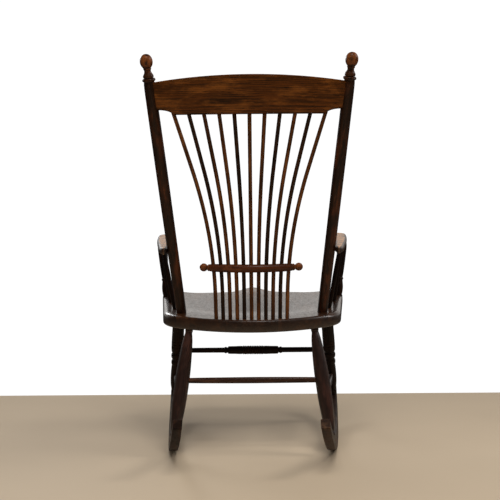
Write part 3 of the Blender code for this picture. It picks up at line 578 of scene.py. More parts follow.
def build_seat(finish_of):
    rings = [seat_edge_ring(inset, below) for inset, below in SEAT_EDGE]
    inner = seat_outline(SEAT_SHELF)
    middle = Vector((0.0, SEAT_EYE_Y))
    for k in range(SEAT_RINGS):
        rings.append([Vector((*p.lerp(middle, k / SEAT_RINGS), 0.0)) for p in inner])
    for (_, below), ring in zip(SEAT_EDGE + ((0.0, 0.0),) * SEAT_RINGS, rings):
        for p in ring:
            if below <= SEAT_THICKNESS / 2:
                p.z -= saddle(p.xy)
            ripple = noise.noise(Vector((p.x * 11, p.y * 9, 3.7)))
            p.z += seat_top(p.y) + (SEAT_RIPPLE * ripple if p.z > -PLANE_DEPTH else 0.0)
    # Both ends close on one point, so each cap is a fan and not one long face.
    points, faces = skin(rings, caps=False)
    count = len(rings[0])
    top = (*middle, seat_top(middle.y) - saddle(middle))
    low = (*middle, seat_top(middle.y) - SEAT_THICKNESS)
    last = len(points) - count
    top_index = len(points)
    points = np.vstack([points, top, low])
    for k in range(count):
        j = (k + 1) % count
        faces.append((last + k, last + j, top_index))
        faces.append((j, k, top_index + 1))
    grain = np.array([(x, z - seat_top(y) + SEAT_HEART, y) for x, y, z in points])
    return new_piece("seat", points, faces, grain, finish_of, seat_rub, seat_painted_shade)


# ---------------------------------------------------------------- the back
POST_FOOT_REACH = 0.012          # how far the post goes on into the seat
POST_SWELL = ((0.16, -0.0008), (0.32, -0.0003), (0.60, 0.0002), (0.80, 0.0))
# The finial, as (distance above the ring's middle, radius), up to the ball.
FINIAL = ((-0.0300, 0.0153), (-0.0120, 0.0148), (-0.0050, 0.0141), (-0.0036, 0.0146), (-0.0034, 0.0163),
          (-0.0020, 0.0174), (0.0, 0.0177), (0.0020, 0.0172), (0.0034, 0.0158), (0.0040, 0.0132),
          (0.0046, 0.0121), (0.0056, 0.0128), (0.0066, 0.0140), (0.0095, 0.0143), (0.0125, 0.0137),
          (0.0170, 0.0110), (0.0210, 0.0093), (0.0235, 0.0089), (0.0262, 0.0093), (0.0276, 0.0103),
          (0.0293, 0.0107), (0.0308, 0.0102), (0.0313, 0.0104))
BALL_MIDDLE = 0.0480
BALL_HALF = 0.0200
BALL_RADIUS = 0.0170
BALL_FOOT = 0.0316
BALL_STEPS = 14
BALL_POINT = 0.0009              # radius left at the ball's top


def build_posts(finish_of):
    for label, side in SIDES:
        bottom = post_point(side, seat_top(POST_FOOT_Y))
        top = post_point(side, POST_SHAFT_TOP)
        start = bottom - (top - bottom).normalized() * POST_FOOT_REACH
        length = (top - start).length
        profile = [(0.0, POST_RADIUS - 0.0015), (POST_FOOT_REACH, POST_RADIUS - 0.0013)]
        profile += [(length * along, POST_RADIUS + swell) for along, swell in POST_SWELL]
        profile += [(length + along, radius) for along, radius in FINIAL]
        first = math.asin((BALL_FOOT - BALL_MIDDLE) / BALL_HALF)
        for k in range(1, BALL_STEPS + 1):
            angle = first + (math.pi / 2 - first) * k / BALL_STEPS
            radius = max(BALL_RADIUS * math.cos(angle) ** 0.92, BALL_POINT)
            profile.append((length + BALL_MIDDLE + BALL_HALF * math.sin(angle), radius))

        def ball_rub(points, normals, grain):
            """The balls are rubbed by hands; the rings under them less so."""
            above = points[:, 2] - POST_SHAFT_TOP
            return 0.50 * (above > 0.031) + 0.08 * ((above > 0.004) & (above <= 0.031))

        turned(f"back_post_{label}", start, top, profile, 40, finish_of, wobble=0.006, rub=ball_rub)


CREST_STEPS = 180
CREST_EDGES = (0.0024, 0.0034)   # rounding of the lower and the upper edges
CREST_BULGE = 0.0008
CREST_HEART = (0.010, 0.030)     # where the rings' centre lies across and below the board


def crest_edges(part):
    far = abs(part)
    top = CREST_TOP_MIDDLE + (CREST_TOP_END - CREST_TOP_MIDDLE) * far ** 2
    if far < CREST_CUSP:
        bottom = CREST_BOTTOM_MIDDLE + (CREST_BOTTOM_CUSP - CREST_BOTTOM_MIDDLE) * (far / CREST_CUSP) ** 2
    else:
        cove = (far - CREST_CUSP) / (1 - CREST_CUSP)
        bottom = CREST_BOTTOM_CUSP + (CREST_BOTTOM_END - CREST_BOTTOM_CUSP) * math.sqrt(cove * (2 - cove))
    return bottom, top


def build_crest(finish_of):
    rings = []
    grain = []
    for k in range(CREST_STEPS + 1):
        # Stations crowd towards the ends, where the lower edge turns fastest.
        even = 2 * k / CREST_STEPS - 1
        part = math.copysign(1 - (1 - abs(even)) ** 1.25, even)
        low, high = crest_edges(part)
        section = rounded_section(CREST_THICKNESS / 2, low, high, CREST_EDGES, 5, 13, bulge=CREST_BULGE)
        ring = []
        for offset, z in section:
            x = part * (post_x(z) - POST_RADIUS + CREST_HOUSING)
            y = post_y(z) + CREST_BOW * (1 - part * part) + offset / math.cos(POST_LEAN)
            ring.append(Vector((x, y, z)))
            grain.append((CREST_HEART[0] + offset, z - CREST_BOTTOM_MIDDLE - CREST_HEART[1], x))
        rings.append(ring)
    points, faces = skin(rings)
    return new_piece("crest_rail", points, faces, np.array(grain), finish_of)


SPINDLE_STEPS = 96
SPINDLE_END = 0.010              # how far a rod goes on into the seat and the crest


def build_spindles(finishes):
    low = seat_top(SEAT_REAR_Y - SPINDLE_FOOT_INSET) - SPINDLE_END
    for i in range(SPINDLES):
        part = 2 * i / (SPINDLES - 1) - 1
        high = crest_edges(part * 0.8)[0] + SPINDLE_END
        steps = [k / SPINDLE_STEPS for k in range(SPINDLE_STEPS + 1)]
        path = [back_point(part, low + (high - low) * s) for s in steps]
        node = f"back_spindle_{i + 1}"
        rng = rng_of(node)
        phase = rng.uniform(0, math.tau)
        radii = [SPINDLE_RADIUS * (1 + 0.012 * math.sin(phase + 11 * s)) for s in steps]
        points, faces, grain = round_skin(path, radii, 20, 0.014, rng)
        new_piece(node, points, faces, grain, finishes[i])


# Half of the spindle rail from its middle outwards, as (distance, radius), up to the ball.
RAIL_BALL = 0.0110
RAIL_BALL_AT = 0.1311
RAIL_BALL_FOOT = 0.1206
RAIL_BALL_STEPS = 14
RAIL_POINT = 0.0006
RAIL_PROFILE = ((0.0, 0.0113), (0.030, 0.0114), (0.070, 0.0113), (0.100, 0.0109), (0.1110, 0.0101),
                (0.1128, 0.0098), (0.1136, 0.0082), (0.1143, 0.0080), (0.1148, 0.0092), (0.1158, 0.0097),
                (0.1172, 0.0096), (0.1181, 0.0088), (0.1188, 0.0078), (0.1199, 0.0076))


def build_spindle_rail(finish_of):
    half = list(RAIL_PROFILE)
    first = math.asin((RAIL_BALL_FOOT - RAIL_BALL_AT) / RAIL_BALL) + 0.25
    for k in range(RAIL_BALL_STEPS + 1):
        angle = first + (math.pi / 2 - 0.06 - first) * k / RAIL_BALL_STEPS
        half.append((RAIL_BALL_AT + RAIL_BALL * math.sin(angle), RAIL_BALL * 1.02 * math.cos(angle)))
    half = smooth_profile(half, 0.003)
    stations = [(-along, radius) for along, radius in reversed(half[1:])] + half
    spread = spindle_spread(RAIL_HEIGHT)
    lean = (back_y(0.0, RAIL_HEIGHT + 0.01) - back_y(0.0, RAIL_HEIGHT - 0.01)) / 0.02
    middle = back_point(0.0, RAIL_HEIGHT)
    path = []
    for along, _ in stations:
        back = back_y(along / spread, RAIL_HEIGHT) - middle.y
        path.append(middle + Vector((along, back, -back * lean)))
    radii = [max(radius, RAIL_POINT) for _, radius in stations]
    points, faces, grain = round_skin(path, radii, 32, 0.008, rng_of("spindle_rail"))

    def end_rub(points, normals, grain):
        return 0.45 * (np.abs(points[:, 0]) > RAIL_BALL_FOOT + 0.0004)

    new_piece("spindle_rail", points, faces, grain, finish_of, end_rub)


# ---------------------------------------------------------------- the arms
def arm_half_width(part):
    length = arm_rear_y() - ARM_FRONT_Y
    widen = part * part * (3 - 2 * part)
    width = ARM_REAR_HALF_WIDTH + (ARM_FRONT_HALF_WIDTH - ARM_REAR_HALF_WIDTH) * widen
    from_front = (1 - part) * length / ARM_FRONT_HALF_WIDTH
    from_rear = part * length / ARM_REAR_TAPER
    for reach in (from_front, from_rear):
        if reach < 1:
            width *= math.sqrt(max(1 - (1 - reach) ** 2, 0.0))
    return width


ARM_STEPS = 110
ARM_TIP = 0.00035                # the end rings stop this share of the length short of a point
ARM_EDGE = 0.0085
ARM_EASED = 0.985                # the drawn width, as a share of the solid's
ARM_DROP = 0.0055                # how far the rear tip draws in from above and below
ARM_HEART = 0.045


def arm_top_rub(points, normals, grain):
    return 0.95 * np.clip((normals[:, 2] - 0.90) / 0.09, 0, 1)


def build_arms(finish_of):
    for label, side in SIDES:
        rings = []
        grain = []
        rng = rng_of(f"arm_{label}")
        shift = rng.uniform(0, 3)
        pith = rng.uniform(-0.02, 0.02)
        for k in range(ARM_STEPS + 1):
            part = 0.5 - 0.5 * math.cos(math.pi * k / ARM_STEPS)
            part = min(max(part, ARM_TIP), 1 - ARM_TIP)
            middle = arm_middle(side, part)
            half = ARM_EASED * arm_half_width(part)
            edge = min(ARM_EDGE, half * 0.98)
            # The ends draw in from above and below too, as a rounded paddle does.
            ease = min(1.0, half / (0.55 * ARM_REAR_HALF_WIDTH))
            drop = ARM_DROP * (1 - ease) ** 2
            section = rounded_section(half, drop - ARM_THICKNESS, -drop, (edge, edge), 7, on_faces=5)
            rings.append([middle + Vector((x, 0.0, z)) for x, z in section])
            grain += [(x + pith, z + ARM_HEART, shift + middle.y) for x, z in section]
        points, faces = skin(rings)

        def arm_inner_painted_shade(points, normals, side=side):
            """Painted shade: darkens the arm's inner side, and its faces that do not look up near the rear
            end by the post.
            """
            inner = np.clip((-side * normals[:, 0] - 0.15) / 0.35, 0, 1)
            behind = np.clip((points[:, 1] - arm_rear_y() + 0.05) / 0.04, 0, 1)
            return 0.9 * inner + 0.5 * behind * np.clip(1 - normals[:, 2], 0, 1)

        new_piece(f"arm_{label}", points, faces, np.array(grain), finish_of, arm_top_rub, arm_inner_painted_shade)


# Turned shapes as (share of the length, share of the radius).
ARM_POST_TURNING = ((0.0, 0.80), (0.03, 0.85), (0.08, 0.91), (0.13, 0.93), (0.18, 0.89), (0.23, 0.80),
                    (0.262, 0.73), (0.272, 0.71), (0.280, 0.74), (0.288, 0.82), (0.300, 0.86),
                    (0.312, 0.82), (0.320, 0.74), (0.328, 0.70), (0.345, 0.72), (0.40, 0.79), (0.50, 0.90),
                    (0.62, 1.00), (0.78, 1.10), (0.88, 1.145), (0.93, 1.12), (0.97, 1.04), (1.0, 0.93))
ARM_SPINDLE_TURNING = ((0.0, 0.90), (0.18, 0.99), (0.35, 1.06), (0.50, 1.08), (0.65, 1.06), (0.82, 0.99),
                       (1.0, 0.90))


def build_arm_uprights(finish_of):
    for label, side in SIDES:
        foot = on_seat(side, ARM_POST_FOOT_Y, ARM_POST_FOOT_INSET)
        top = under_arm(side, ARM_POST_TOP_Y, ARM_POST_TOP_OUT)
        turned_between(f"arm_post_{label}", foot, top, (0.006, 0.004), (0.80, 0.90), ARM_POST_TURNING,
                       ARM_POST_RADIUS, 36, finish_of)
        spindles = zip(ARM_SPINDLE_FEET_Y, ARM_SPINDLE_FEET_INSET, ARM_SPINDLE_TOPS_Y, ARM_SPINDLE_TOPS_OUT)
        for i, (foot_y, inset, top_y, out) in enumerate(spindles):
            foot = on_seat(side, foot_y, inset)
            top = under_arm(side, top_y, out)
            turned_between(f"arm_spindle_{label}_{i + 1}", foot, top, (0.008, 0.006), (0.88, 0.88),
                           ARM_SPINDLE_TURNING, ARM_SPINDLE_RADIUS, 22, finish_of, wobble=0.014)


# ---------------------------------------------------------------- legs, stretchers and rockers
LEG_REACH = 0.02                 # share of the length that goes on into the seat
LEG_FOOT_REACH = 0.006
# The legs' shapes from the seat down, as (share of the length, share of the radius).
FRONT_TURNING = ((-0.02, 0.86), (0.0, 0.86), (0.02, 0.93), (0.06, 0.98), (0.10, 1.00), (0.118, 0.98),
                 (0.126, 0.89), (0.133, 0.86), (0.140, 0.90), (0.150, 1.00), (0.165, 1.01), (0.22, 1.02),
                 (0.30, 1.03), (0.375, 1.05), (0.385, 1.04), (0.390, 1.00), (0.396, 1.05), (0.415, 1.05),
                 (0.420, 1.00), (0.426, 1.05), (0.445, 1.04), (0.450, 0.99), (0.456, 1.04), (0.500, 1.00),
                 (0.512, 0.96), (0.520, 0.84), (0.528, 0.82), (0.536, 0.92), (0.552, 1.00), (0.568, 0.99),
                 (0.584, 0.92), (0.592, 0.82), (0.602, 0.80), (0.610, 0.84), (0.618, 0.91), (0.635, 0.93),
                 (0.650, 0.90), (0.658, 0.84), (0.666, 0.83), (0.676, 0.85), (0.74, 0.90), (0.80, 0.91),
                 (0.86, 0.87), (0.915, 0.77), (0.935, 0.68), (0.942, 0.62), (0.952, 0.62), (0.958, 0.68),
                 (0.968, 0.72), (0.985, 0.71), (1.0, 0.69))
REAR_TURNING = ((0.16, 0.75), (0.22, 0.82), (0.30, 0.90), (0.36, 0.95), (0.43, 0.99), (0.50, 1.00),
                (0.62, 1.00), (0.70, 0.97), (0.76, 0.92), (0.82, 0.86), (0.88, 0.78), (0.93, 0.70),
                (0.952, 0.66), (0.958, 0.61), (0.966, 0.59), (0.974, 0.63), (0.985, 0.65), (1.0, 0.63))
# The top of a rear leg, as (share of the length, thickness over its neck).
REAR_TOP = ((-0.02, 0.0), (0.0, 0.0018), (0.015, 0.0022), (0.033, 0.0021), (0.040, 0.0012), (0.048, 0.0014),
            (0.075, 0.0030), (0.11, 0.0048))
FRONT_LEG_BODY = [(along, FRONT_LEG_RADIUS * wide) for along, wide in FRONT_TURNING]
REAR_LEG_BODY = [(along, REAR_LEG_NECK + over) for along, over in REAR_TOP]
REAR_LEG_BODY += [(along, REAR_LEG_RADIUS * wide) for along, wide in REAR_TURNING]
LEGS = (("front", FRONT_LEG, FRONT_LEG_BODY), ("rear", REAR_LEG, REAR_LEG_BODY))


def build_legs(finishes):
    for label, side in SIDES:
        for where, kind, body in LEGS:
            top, foot = leg_ends(side, *kind)
            length = (foot - top).length
            start = top - (foot - top) * LEG_REACH
            last = (1.0 + LEG_FOOT_REACH / length, body[-1][1] * 0.96)
            profile = [((along + LEG_REACH) * length, radius) for along, radius in (*body, last)]
            turned(f"{where}_leg_{label}", start, foot, profile, 40, finishes[where])


PLAIN_STRETCHER = ((0.12, 0.95), (0.25, 1.0), (0.38, 1.04), (0.5, 1.06), (0.62, 1.04), (0.75, 1.0),
                   (0.88, 0.95))
# Half of the front stretcher up to the beads: its thin part in shares of its radius, then its thick
# part in shares of the beads' radius.
THIN_HALF = ((0.15, 0.95), (0.295, 0.97), (0.305, 0.98), (0.309, 1.16), (0.315, 1.22), (0.321, 1.16),
             (0.325, 1.00), (0.329, 1.02))
THICK_HALF = ((0.333, 0.86), (0.337, 0.89), (0.38, 0.92), (0.42, 0.96))
BEADS = 6                        # in each half
BEADS_FROM = 0.430
BEAD = ((0.04, 0.90), (0.25, 0.985), (0.5, 1.02), (0.75, 0.985))
BEAD_GAP = 0.87
INTO_FRONT = STRETCHER_TENON - FRONT_LEG_RADIUS
INTO_REAR = STRETCHER_TENON - REAR_LEG_RADIUS


def build_stretcher(name, start, end, reaches, body, radius, finish_of):
    direction = (end - start).normalized()
    first = start - direction * reaches[0]
    length = (end + direction * reaches[1] - first).length
    whole = ((0.0, 0.86), (0.05, 0.90), *body, (0.95, 0.90), (1.0, 0.86))
    profile = [(length * along, radius * wide) for along, wide in whole]
    turned(name, first, end, profile, 30, finish_of, wobble=0.014)


def beaded_body():
    thick = FRONT_STRETCHER_BEAD_RADIUS / FRONT_STRETCHER_RADIUS
    half = list(THIN_HALF) + [(along, thick * wide) for along, wide in THICK_HALF]
    run = (0.5 - BEADS_FROM) / BEADS
    for k in range(BEADS):
        half += [(BEADS_FROM + run * (k + along), thick * wide) for along, wide in BEAD]
    return half + [(0.5, thick * BEAD_GAP)] + [(1 - along, wide) for along, wide in reversed(half)]


def build_stretchers(front_finish, rear_finish, side_finish):
    ends = [leg_at(side, FRONT_LEG, FRONT_STRETCHER_HEIGHT) for _, side in SIDES]
    build_stretcher("front_stretcher", *ends, (INTO_FRONT, INTO_FRONT), beaded_body(),
                    FRONT_STRETCHER_RADIUS, front_finish)
    ends = [leg_at(side, REAR_LEG, REAR_STRETCHER_HEIGHT) for _, side in SIDES]
    build_stretcher("rear_stretcher", *ends, (INTO_REAR, INTO_REAR), PLAIN_STRETCHER,
                    REAR_STRETCHER_RADIUS, rear_finish)
    for label, side in SIDES:
        front = leg_at(side, FRONT_LEG, SIDE_STRETCHER_FRONT_HEIGHT)
        rear = leg_at(side, REAR_LEG, SIDE_STRETCHER_REAR_HEIGHT)
        build_stretcher(f"side_stretcher_{label}", front, rear, (INTO_FRONT, INTO_REAR), PLAIN_STRETCHER,
                        SIDE_STRETCHER_RADIUS, side_finish)


ROCKER_STEPS = 120
ROCKER_EDGES = (0.0014, 0.0030)  # rounding of the lower and the upper edges
ROCKER_HEART = 0.03
END_SHARE = 0.94                 # the end faces are drawn in to this share of the section
END_SOFTNESS = 0.0012


def build_rockers(finish_of):
    for label, side in SIDES:
        rings = []
        grain = []
        shift = rng_of(f"rocker_{label}").uniform(0, 3)
        for k in range(ROCKER_STEPS + 1):
            run = -ROCKER_NOSE + (ROCKER_NOSE + ROCKER_TAIL) * k / ROCKER_STEPS
            ring = []
            for x, up in rounded_section(ROCKER_THICKNESS / 2, 0.0, rocker_depth(run), ROCKER_EDGES, 4, 5):
                y, z = rocker_point(run, up)
                ring.append(Vector((side * (rocker_x(y, z) + x), y, max(z, 0.0))))
                grain.append((x, up + ROCKER_HEART, shift + run))
            rings.append(ring)
        # The two end faces are softened by drawing the first rings in.
        caps = []
        for end, beyond in ((0, 1), (-1, -2)):
            ring = rings[end]
            middle = sum(ring, Vector()) / len(ring)
            caps.append([middle + (p - middle) * END_SHARE for p in ring])
            inward = (rings[beyond][0] - ring[0]).normalized()
            rings[end] = [p + inward * END_SOFTNESS for p in ring]
        count = len(rings[0])
        grain = np.array(grain[:count] + grain + grain[-count:])
        points, faces = skin([caps[0], *rings, caps[1]])
        new_piece(f"rocker_{label}", points, faces, grain, finish_of)


# ---------------------------------------------------------------- fasteners
PIN_RADIUS = 0.0025
PIN_DROP = 0.011
SCREW_RADIUS = 0.0022
SCREW_HEAD_RADIUS = 0.0042
SCREW_HEAD_DEPTH = 0.0026
SCREW_PROUD = 0.0005
SLOT_HALF_WIDTH = 0.0005
SLOT_DEPTH = 0.0009
SLOT_EASE = 0.00025              # how far its walls slope
SLOT_ANGLE = 0.6
DOME = 0.0006
PIN_PROUD = 0.0002
# A pin's end, as (distance from its tip, share of its radius).
PIN_END = ((0.0, 0.35), (0.0002, 0.80), (0.0006, 1.0))
# The screw under its head, as (radius, depth).
SHANK = ((SCREW_RADIUS, 0.012), (SCREW_RADIUS, SCREW_HEAD_DEPTH), (SCREW_HEAD_RADIUS * 0.98, 0.0003))
SCREW_RINGS = 18
SCREW_SIDES = 48


def build_pins(finish_of):
    half = Vector((ROCKER_THICKNESS / 2 + PIN_PROUD, 0.0, 0.0))
    profile = [(along, PIN_RADIUS * wide) for along, wide in PIN_END]
    profile += [(2 * half.x - along, radius) for along, radius in reversed(profile)]
    for label, side in SIDES:
        for where, kind, _ in LEGS:
            top, foot = leg_ends(side, *kind)
            centre = foot + (foot - top).normalized() * (PIN_DROP + FOOT_SEAT)
            turned(f"rocker_pin_{where}_{label}", centre - half, centre + half, profile, 20, finish_of)


def build_screws(finish_of):
    """A domed screw head with a slot pressed into it."""
    turns = [math.tau * j / SCREW_SIDES for j in range(SCREW_SIDES)]
    for label, side in SIDES:
        z = arm_middle(side, 0.0).z - ARM_THICKNESS / 2
        y = post_point(side, z).y
        part = arm_part(y)
        centre = Vector((arm_middle(side, part).x + side * (arm_half_width(part) + SCREW_PROUD), y, z))
        inward = Vector((-side, 0.0, 0.0))
        up = Vector((0.0, math.sin(SLOT_ANGLE), math.cos(SLOT_ANGLE)))
        cross = inward.cross(up)

        def ring_of(reach, depth_at):
            spots = [(reach * math.cos(angle), reach * math.sin(angle)) for angle in turns]
            return [centre + cross * a + up * b + inward * depth_at(a) for a, b in spots]

        rings = [ring_of(radius, lambda a, depth=depth: depth) for radius, depth in SHANK]
        for k in range(SCREW_RINGS + 1):
            reach = SCREW_HEAD_RADIUS * (1 - k / SCREW_RINGS * 0.985)
            dome = DOME * (1 - (reach / SCREW_HEAD_RADIUS) ** 2)

            def slot(a, dome=dome):
                near = max(0.0, 1 - max(abs(a) - SLOT_HALF_WIDTH, 0.0) / SLOT_EASE)
                return SLOT_DEPTH * near - dome

            rings.append(ring_of(reach, slot))
        points, faces = skin(rings)
        new_piece(f"arm_screw_{label}", points, faces, points - np.array(centre), finish_of, stuff="metal")


# ---------------------------------------------------------------- finishes
def linear(red, green, blue):
    """A colour given as 0-255 display values, made linear."""
    out = []
    for value in (red, green, blue):
        v = value / 255
        out.append(v / 12.92 if v <= 0.04045 else ((v + 0.055) / 1.055) ** 2.4)
    return (*out, 1.0)


class Signal:
    """A shader socket that plain arithmetic adds math nodes to."""

    def __init__(self, tree, socket):
        self.tree = tree
        self.socket = socket

    def __add__(self, other):
        return self.tree.math("ADD", self, other)

    def __radd__(self, other):
        return self.tree.math("ADD", other, self)

    def __sub__(self, other):
        return self.tree.math("SUBTRACT", self, other)

    def __rsub__(self, other):
        return self.tree.math("SUBTRACT", other, self)

    def __mul__(self, other):
        return self.tree.math("MULTIPLY", self, other)

    def __truediv__(self, other):
        return self.tree.math("DIVIDE", self, other)


class Tree:
    """Short ways to add the nodes of a material or a world."""

    def __init__(self, owner):
        owner.use_nodes = True
        self.owner = owner
        self.nodes = owner.node_tree.nodes
        self.links = owner.node_tree.links

    def set(self, socket, value):
        if isinstance(value, Signal):
            self.links.new(value.socket, socket)
        else:
            socket.default_value = value

    def node(self, kind, output, values=(), **settings):
        """The output of a new node, with these inputs and settings."""
        node = self.nodes.new(f"ShaderNode{kind}")
        for name, value in settings.items():
            setattr(node, name, value)
        for name, value in dict(values).items():
            self.set(node.inputs[name], value)
        return Signal(self, node.outputs[output])

    def shade(self, **values):
        shader = self.nodes["Principled BSDF"]
        for name, value in values.items():
            self.set(shader.inputs[name.replace("_", " ")], value)

    def attribute(self, name, output="Fac"):
        return self.node("Attribute", output, attribute_name=name)

    def math(self, kind, a, b=0.0, clamp=False):
        return self.node("Math", 0, {0: a, 1: b}, operation=kind, use_clamp=clamp)

    def stretched(self, vector, *scale):
        return self.node("VectorMath", "Vector", {0: vector, 1: scale}, operation="MULTIPLY")

    def separate(self, vector):
        outputs = self.node("SeparateXYZ", 0, {0: vector}).socket.node.outputs
        return [Signal(self, socket) for socket in outputs]

    def noise(self, vector, scale, detail=2.0, rough=0.5):
        values = {"Vector": vector, "Scale": scale, "Detail": detail, "Roughness": rough}
        return self.node("TexNoise", "Fac", values)

    def between(self, value, low, high):
        """The value mapped from low-high onto 0-1, with soft ends."""
        return self.node("MapRange", "Result", {"Value": value, "From Min": low, "From Max": high},
                         interpolation_type="SMOOTHSTEP")

    def mix(self, a, b, factor):
        return self.node("Mix", "Result", {"Factor": factor, "A": a, "B": b}, data_type="RGBA")

    def bump(self, height, strength, distance, **under):
        values = {"Strength": strength, "Distance": distance, "Height": height, **under}
        return self.node("Bump", "Normal", values)


RING_WIDTH = 0.0030
BOARD_WIDTH = 0.142
COAT_ROUGHNESS = 0.16


def darker(colour, share):
    return (*(share * c for c in colour[:3]), 1.0)


def new_tree(name):
    return Tree(bpy.data.materials.new(name))


def oak(name, slot, shades, worn, gloss=0.34, coat=0.12, pores=0.55, patches=0.5, boards=False,
        ring_width=RING_WIDTH, wear_amount=0.8, shine=0.32, relief=1.0):
    """Stained and varnished oak: rings, open pores, blotchy stain, rubbed edges, dirt in the hollows and
    painted shade where a piece marks it.
    """
    dark, mid, light = (linear(*shade) for shade in shades)
    worn = linear(*worn)
    t = new_tree(name)
    grain = t.attribute("grain", "Vector")
    if boards:
        # Each board is cut from a place of its own in the tree.
        x, y, z = t.separate(grain)
        place = (x + 0.5 * BOARD_WIDTH) / BOARD_WIDTH
        board = t.math("FLOOR", place)
        inside = place - board
        tone = t.node("TexWhiteNoise", "Value", {"W": board}, noise_dimensions="1D")
        nearest = t.math("MINIMUM", inside, 1.0 - inside)
        seam = 1.0 - t.between(nearest, 0.0015, 0.0060)
        x = (inside - tone) * BOARD_WIDTH + 0.012
        grain = t.node("CombineXYZ", 0, {0: x, 1: y, 2: z + tone * 3.7})

    def drawn_out(length, scale, detail, rough=0.5, across=1.0):
        """Noise that runs along the wood."""
        return t.noise(t.stretched(grain, across, 1.0, length), scale, detail, rough)

    slow = t.stretched(grain, 1.0, 1.0, 0.16)
    from_heart = t.node("VectorMath", "Value", {0: t.stretched(grain, 1.0, 1.0, 0.0)}, operation="LENGTH")
    radius = from_heart + t.noise(slow, 26.0, 3.0) * 0.016 + t.noise(slow, 120.0, 2.0) * 0.0014
    turn = t.math("FRACT", radius / ring_width)
    late = t.between(turn, 0.10, 0.75) * (1.0 - t.between(turn, 0.90, 1.0))
    early = 1.0 - late
    fibre = drawn_out(0.022, 620.0, 3.0, 0.6)
    streak = drawn_out(0.035, 190.0, 3.0, 0.6)
    pore = t.between(drawn_out(0.055, 900.0, 1.0), 0.57, 0.68) * (0.25 + early * 0.75)
    blotch = drawn_out(0.30, 38.0, 4.0, 0.6)
    ray = t.between(drawn_out(0.20, 300.0, 2.0, across=0.35), 0.60, 0.72)

    depth = late * 0.40 + t.between(streak, 0.32, 0.70) * 0.42 + t.between(fibre, 0.35, 0.68) * 0.22
    colour = t.mix(dark, mid, depth)
    patch = t.between(blotch, 0.46, 0.66) * patches * (0.45 + depth * 0.7)
    colour = t.mix(colour, light, t.math("MINIMUM", patch, 1.0))
    colour = t.mix(colour, light, ray * 0.16)
    colour = t.mix(colour, darker(dark, 0.35), pore * pores)
    if boards:
        colour = t.mix(colour, dark, tone * 0.35)
        colour = t.mix(colour, darker(dark, 0.30), seam * 0.85)

    scuff = drawn_out(0.6, 85.0, 5.0, 0.65)
    rubbed = t.attribute("wear") * t.between(scuff, 0.34, 0.58)
    rubbed = t.math("MULTIPLY", rubbed, wear_amount, clamp=True)
    colour = t.mix(colour, worn, rubbed)
    colour = t.mix(colour, worn, t.between(t.noise(grain, 210.0, 3.0, 0.7), 0.70, 0.76) * 0.30)
    # Dirt in the hollows, together with painted shade on the faces some pieces mark, darkens the stain.
    grime_and_shade = t.attribute("dirt_and_shade") * 0.75
    colour = t.mix(colour, darker(dark, 0.30), grime_and_shade)

    rough = gloss + t.between(scuff, 0.35, 0.75) * 0.14 + pore * 0.22 + rubbed * 0.10
    rough = t.math("ADD", rough, grime_and_shade * 0.25, clamp=True)
    normal = t.bump(t.noise(slow, 60.0, 3.0), 0.30 * relief, 0.0012)
    normal = t.bump(fibre * 0.35 - pore * 0.9, 0.45 * relief, 0.00022, Normal=normal)
    if boards:
        normal = t.bump(1.0 - seam, 0.5, 0.0004, Normal=normal)
    t.shade(Base_Color=colour, Roughness=rough, Normal=normal, Coat_Weight=coat,
            Coat_Roughness=COAT_ROUGHNESS, Specular_IOR_Level=shine)
    return {"material": t.owner, "slot": slot}


def steel(name, slot):
    t = new_tree(name)
    grain = t.attribute("grain", "Vector")
    tarnish = t.between(t.noise(grain, 900.0, 4.0, 0.65), 0.40, 0.68)
    colour = t.mix(linear(150, 143, 132), linear(70, 52, 38), tarnish)
    colour = t.mix(colour, linear(24, 18, 14), t.attribute("dirt_and_shade"))
    normal = t.bump(t.noise(grain, 2600.0, 2.0), 0.3, 0.00008)
    t.shade(Base_Color=colour, Metallic=1.0, Roughness=0.32 + tarnish * 0.30, Normal=normal)
    return {"material": t.owner, "slot": slot}


# ---------------------------------------------------------------- the pieces
# Shades of a finish are its dark, middle and light stain, as display values.
RUBBED = (150, 84, 38)

post_oak = oak("post_oak", "seat_oak", ((13, 6, 3), (38, 19, 8), (92, 44, 18)), RUBBED, wear_amount=0.9,
               shine=0.14)
seat_oak = oak("seat_board_oak", "seat_oak", ((22, 11, 6), (58, 32, 15), (90, 54, 29)), (132, 88, 52),
               gloss=0.27, coat=0.40, patches=0.45, boards=True, shine=0.5, relief=0.12)
arm_oak = oak("arm_oak", "seat_oak", ((18, 9, 5), (52, 28, 14), (84, 48, 25)), (214, 158, 108), gloss=0.42,
              coat=0.20, shine=0.45, relief=0.4)
crest_oak = oak("crest_oak", "crest_oak", ((22, 10, 2), (88, 44, 9), (136, 78, 28)), (146, 88, 38),
                pores=0.80, ring_width=0.0040, coat=0.06, shine=0.12)
rail_oak = oak("red_rail_oak", "red_oak", ((30, 12, 5), (88, 44, 20), (130, 72, 36)), RUBBED, coat=0.15,
               patches=0.55, shine=0.16)
stretcher_oak = oak("red_stretcher_oak", "red_oak", ((26, 13, 9), (68, 42, 28), (96, 62, 42)), RUBBED,
                    patches=0.55, shine=0.16)
leg_oak = oak("leg_oak", "dark_oak", ((16, 9, 7), (48, 30, 24), (80, 48, 38)), (112, 72, 50), coat=0.20,
              shine=0.35)
# Painted shade: a darker copy of the leg oak, standing in for the shade under the seat on the front legs and
# the front stretcher.
dark_oak = oak("shaded_dark_turned_oak", "dark_oak", ((8, 4, 3), (28, 15, 8), (56, 29, 15)), (84, 48, 24),
               patches=0.40, coat=0.05, shine=0.10)
spindle_dark = oak("dark_spindle_oak", "dark_oak", ((12, 6, 3), (42, 22, 10), (74, 40, 18)), (96, 58, 28),
                   patches=0.4, coat=0.05, shine=0.12)
spindle_mid = oak("brown_spindle_oak", "dark_oak", ((30, 14, 5), (92, 50, 20), (134, 80, 36)), (140, 88, 42),
                  coat=0.05, shine=0.12)
spindle_warm = oak("warm_spindle_oak", "dark_oak", ((24, 11, 4), (76, 40, 15), (118, 66, 28)), (126, 76, 36),
                   coat=0.05, shine=0.12)
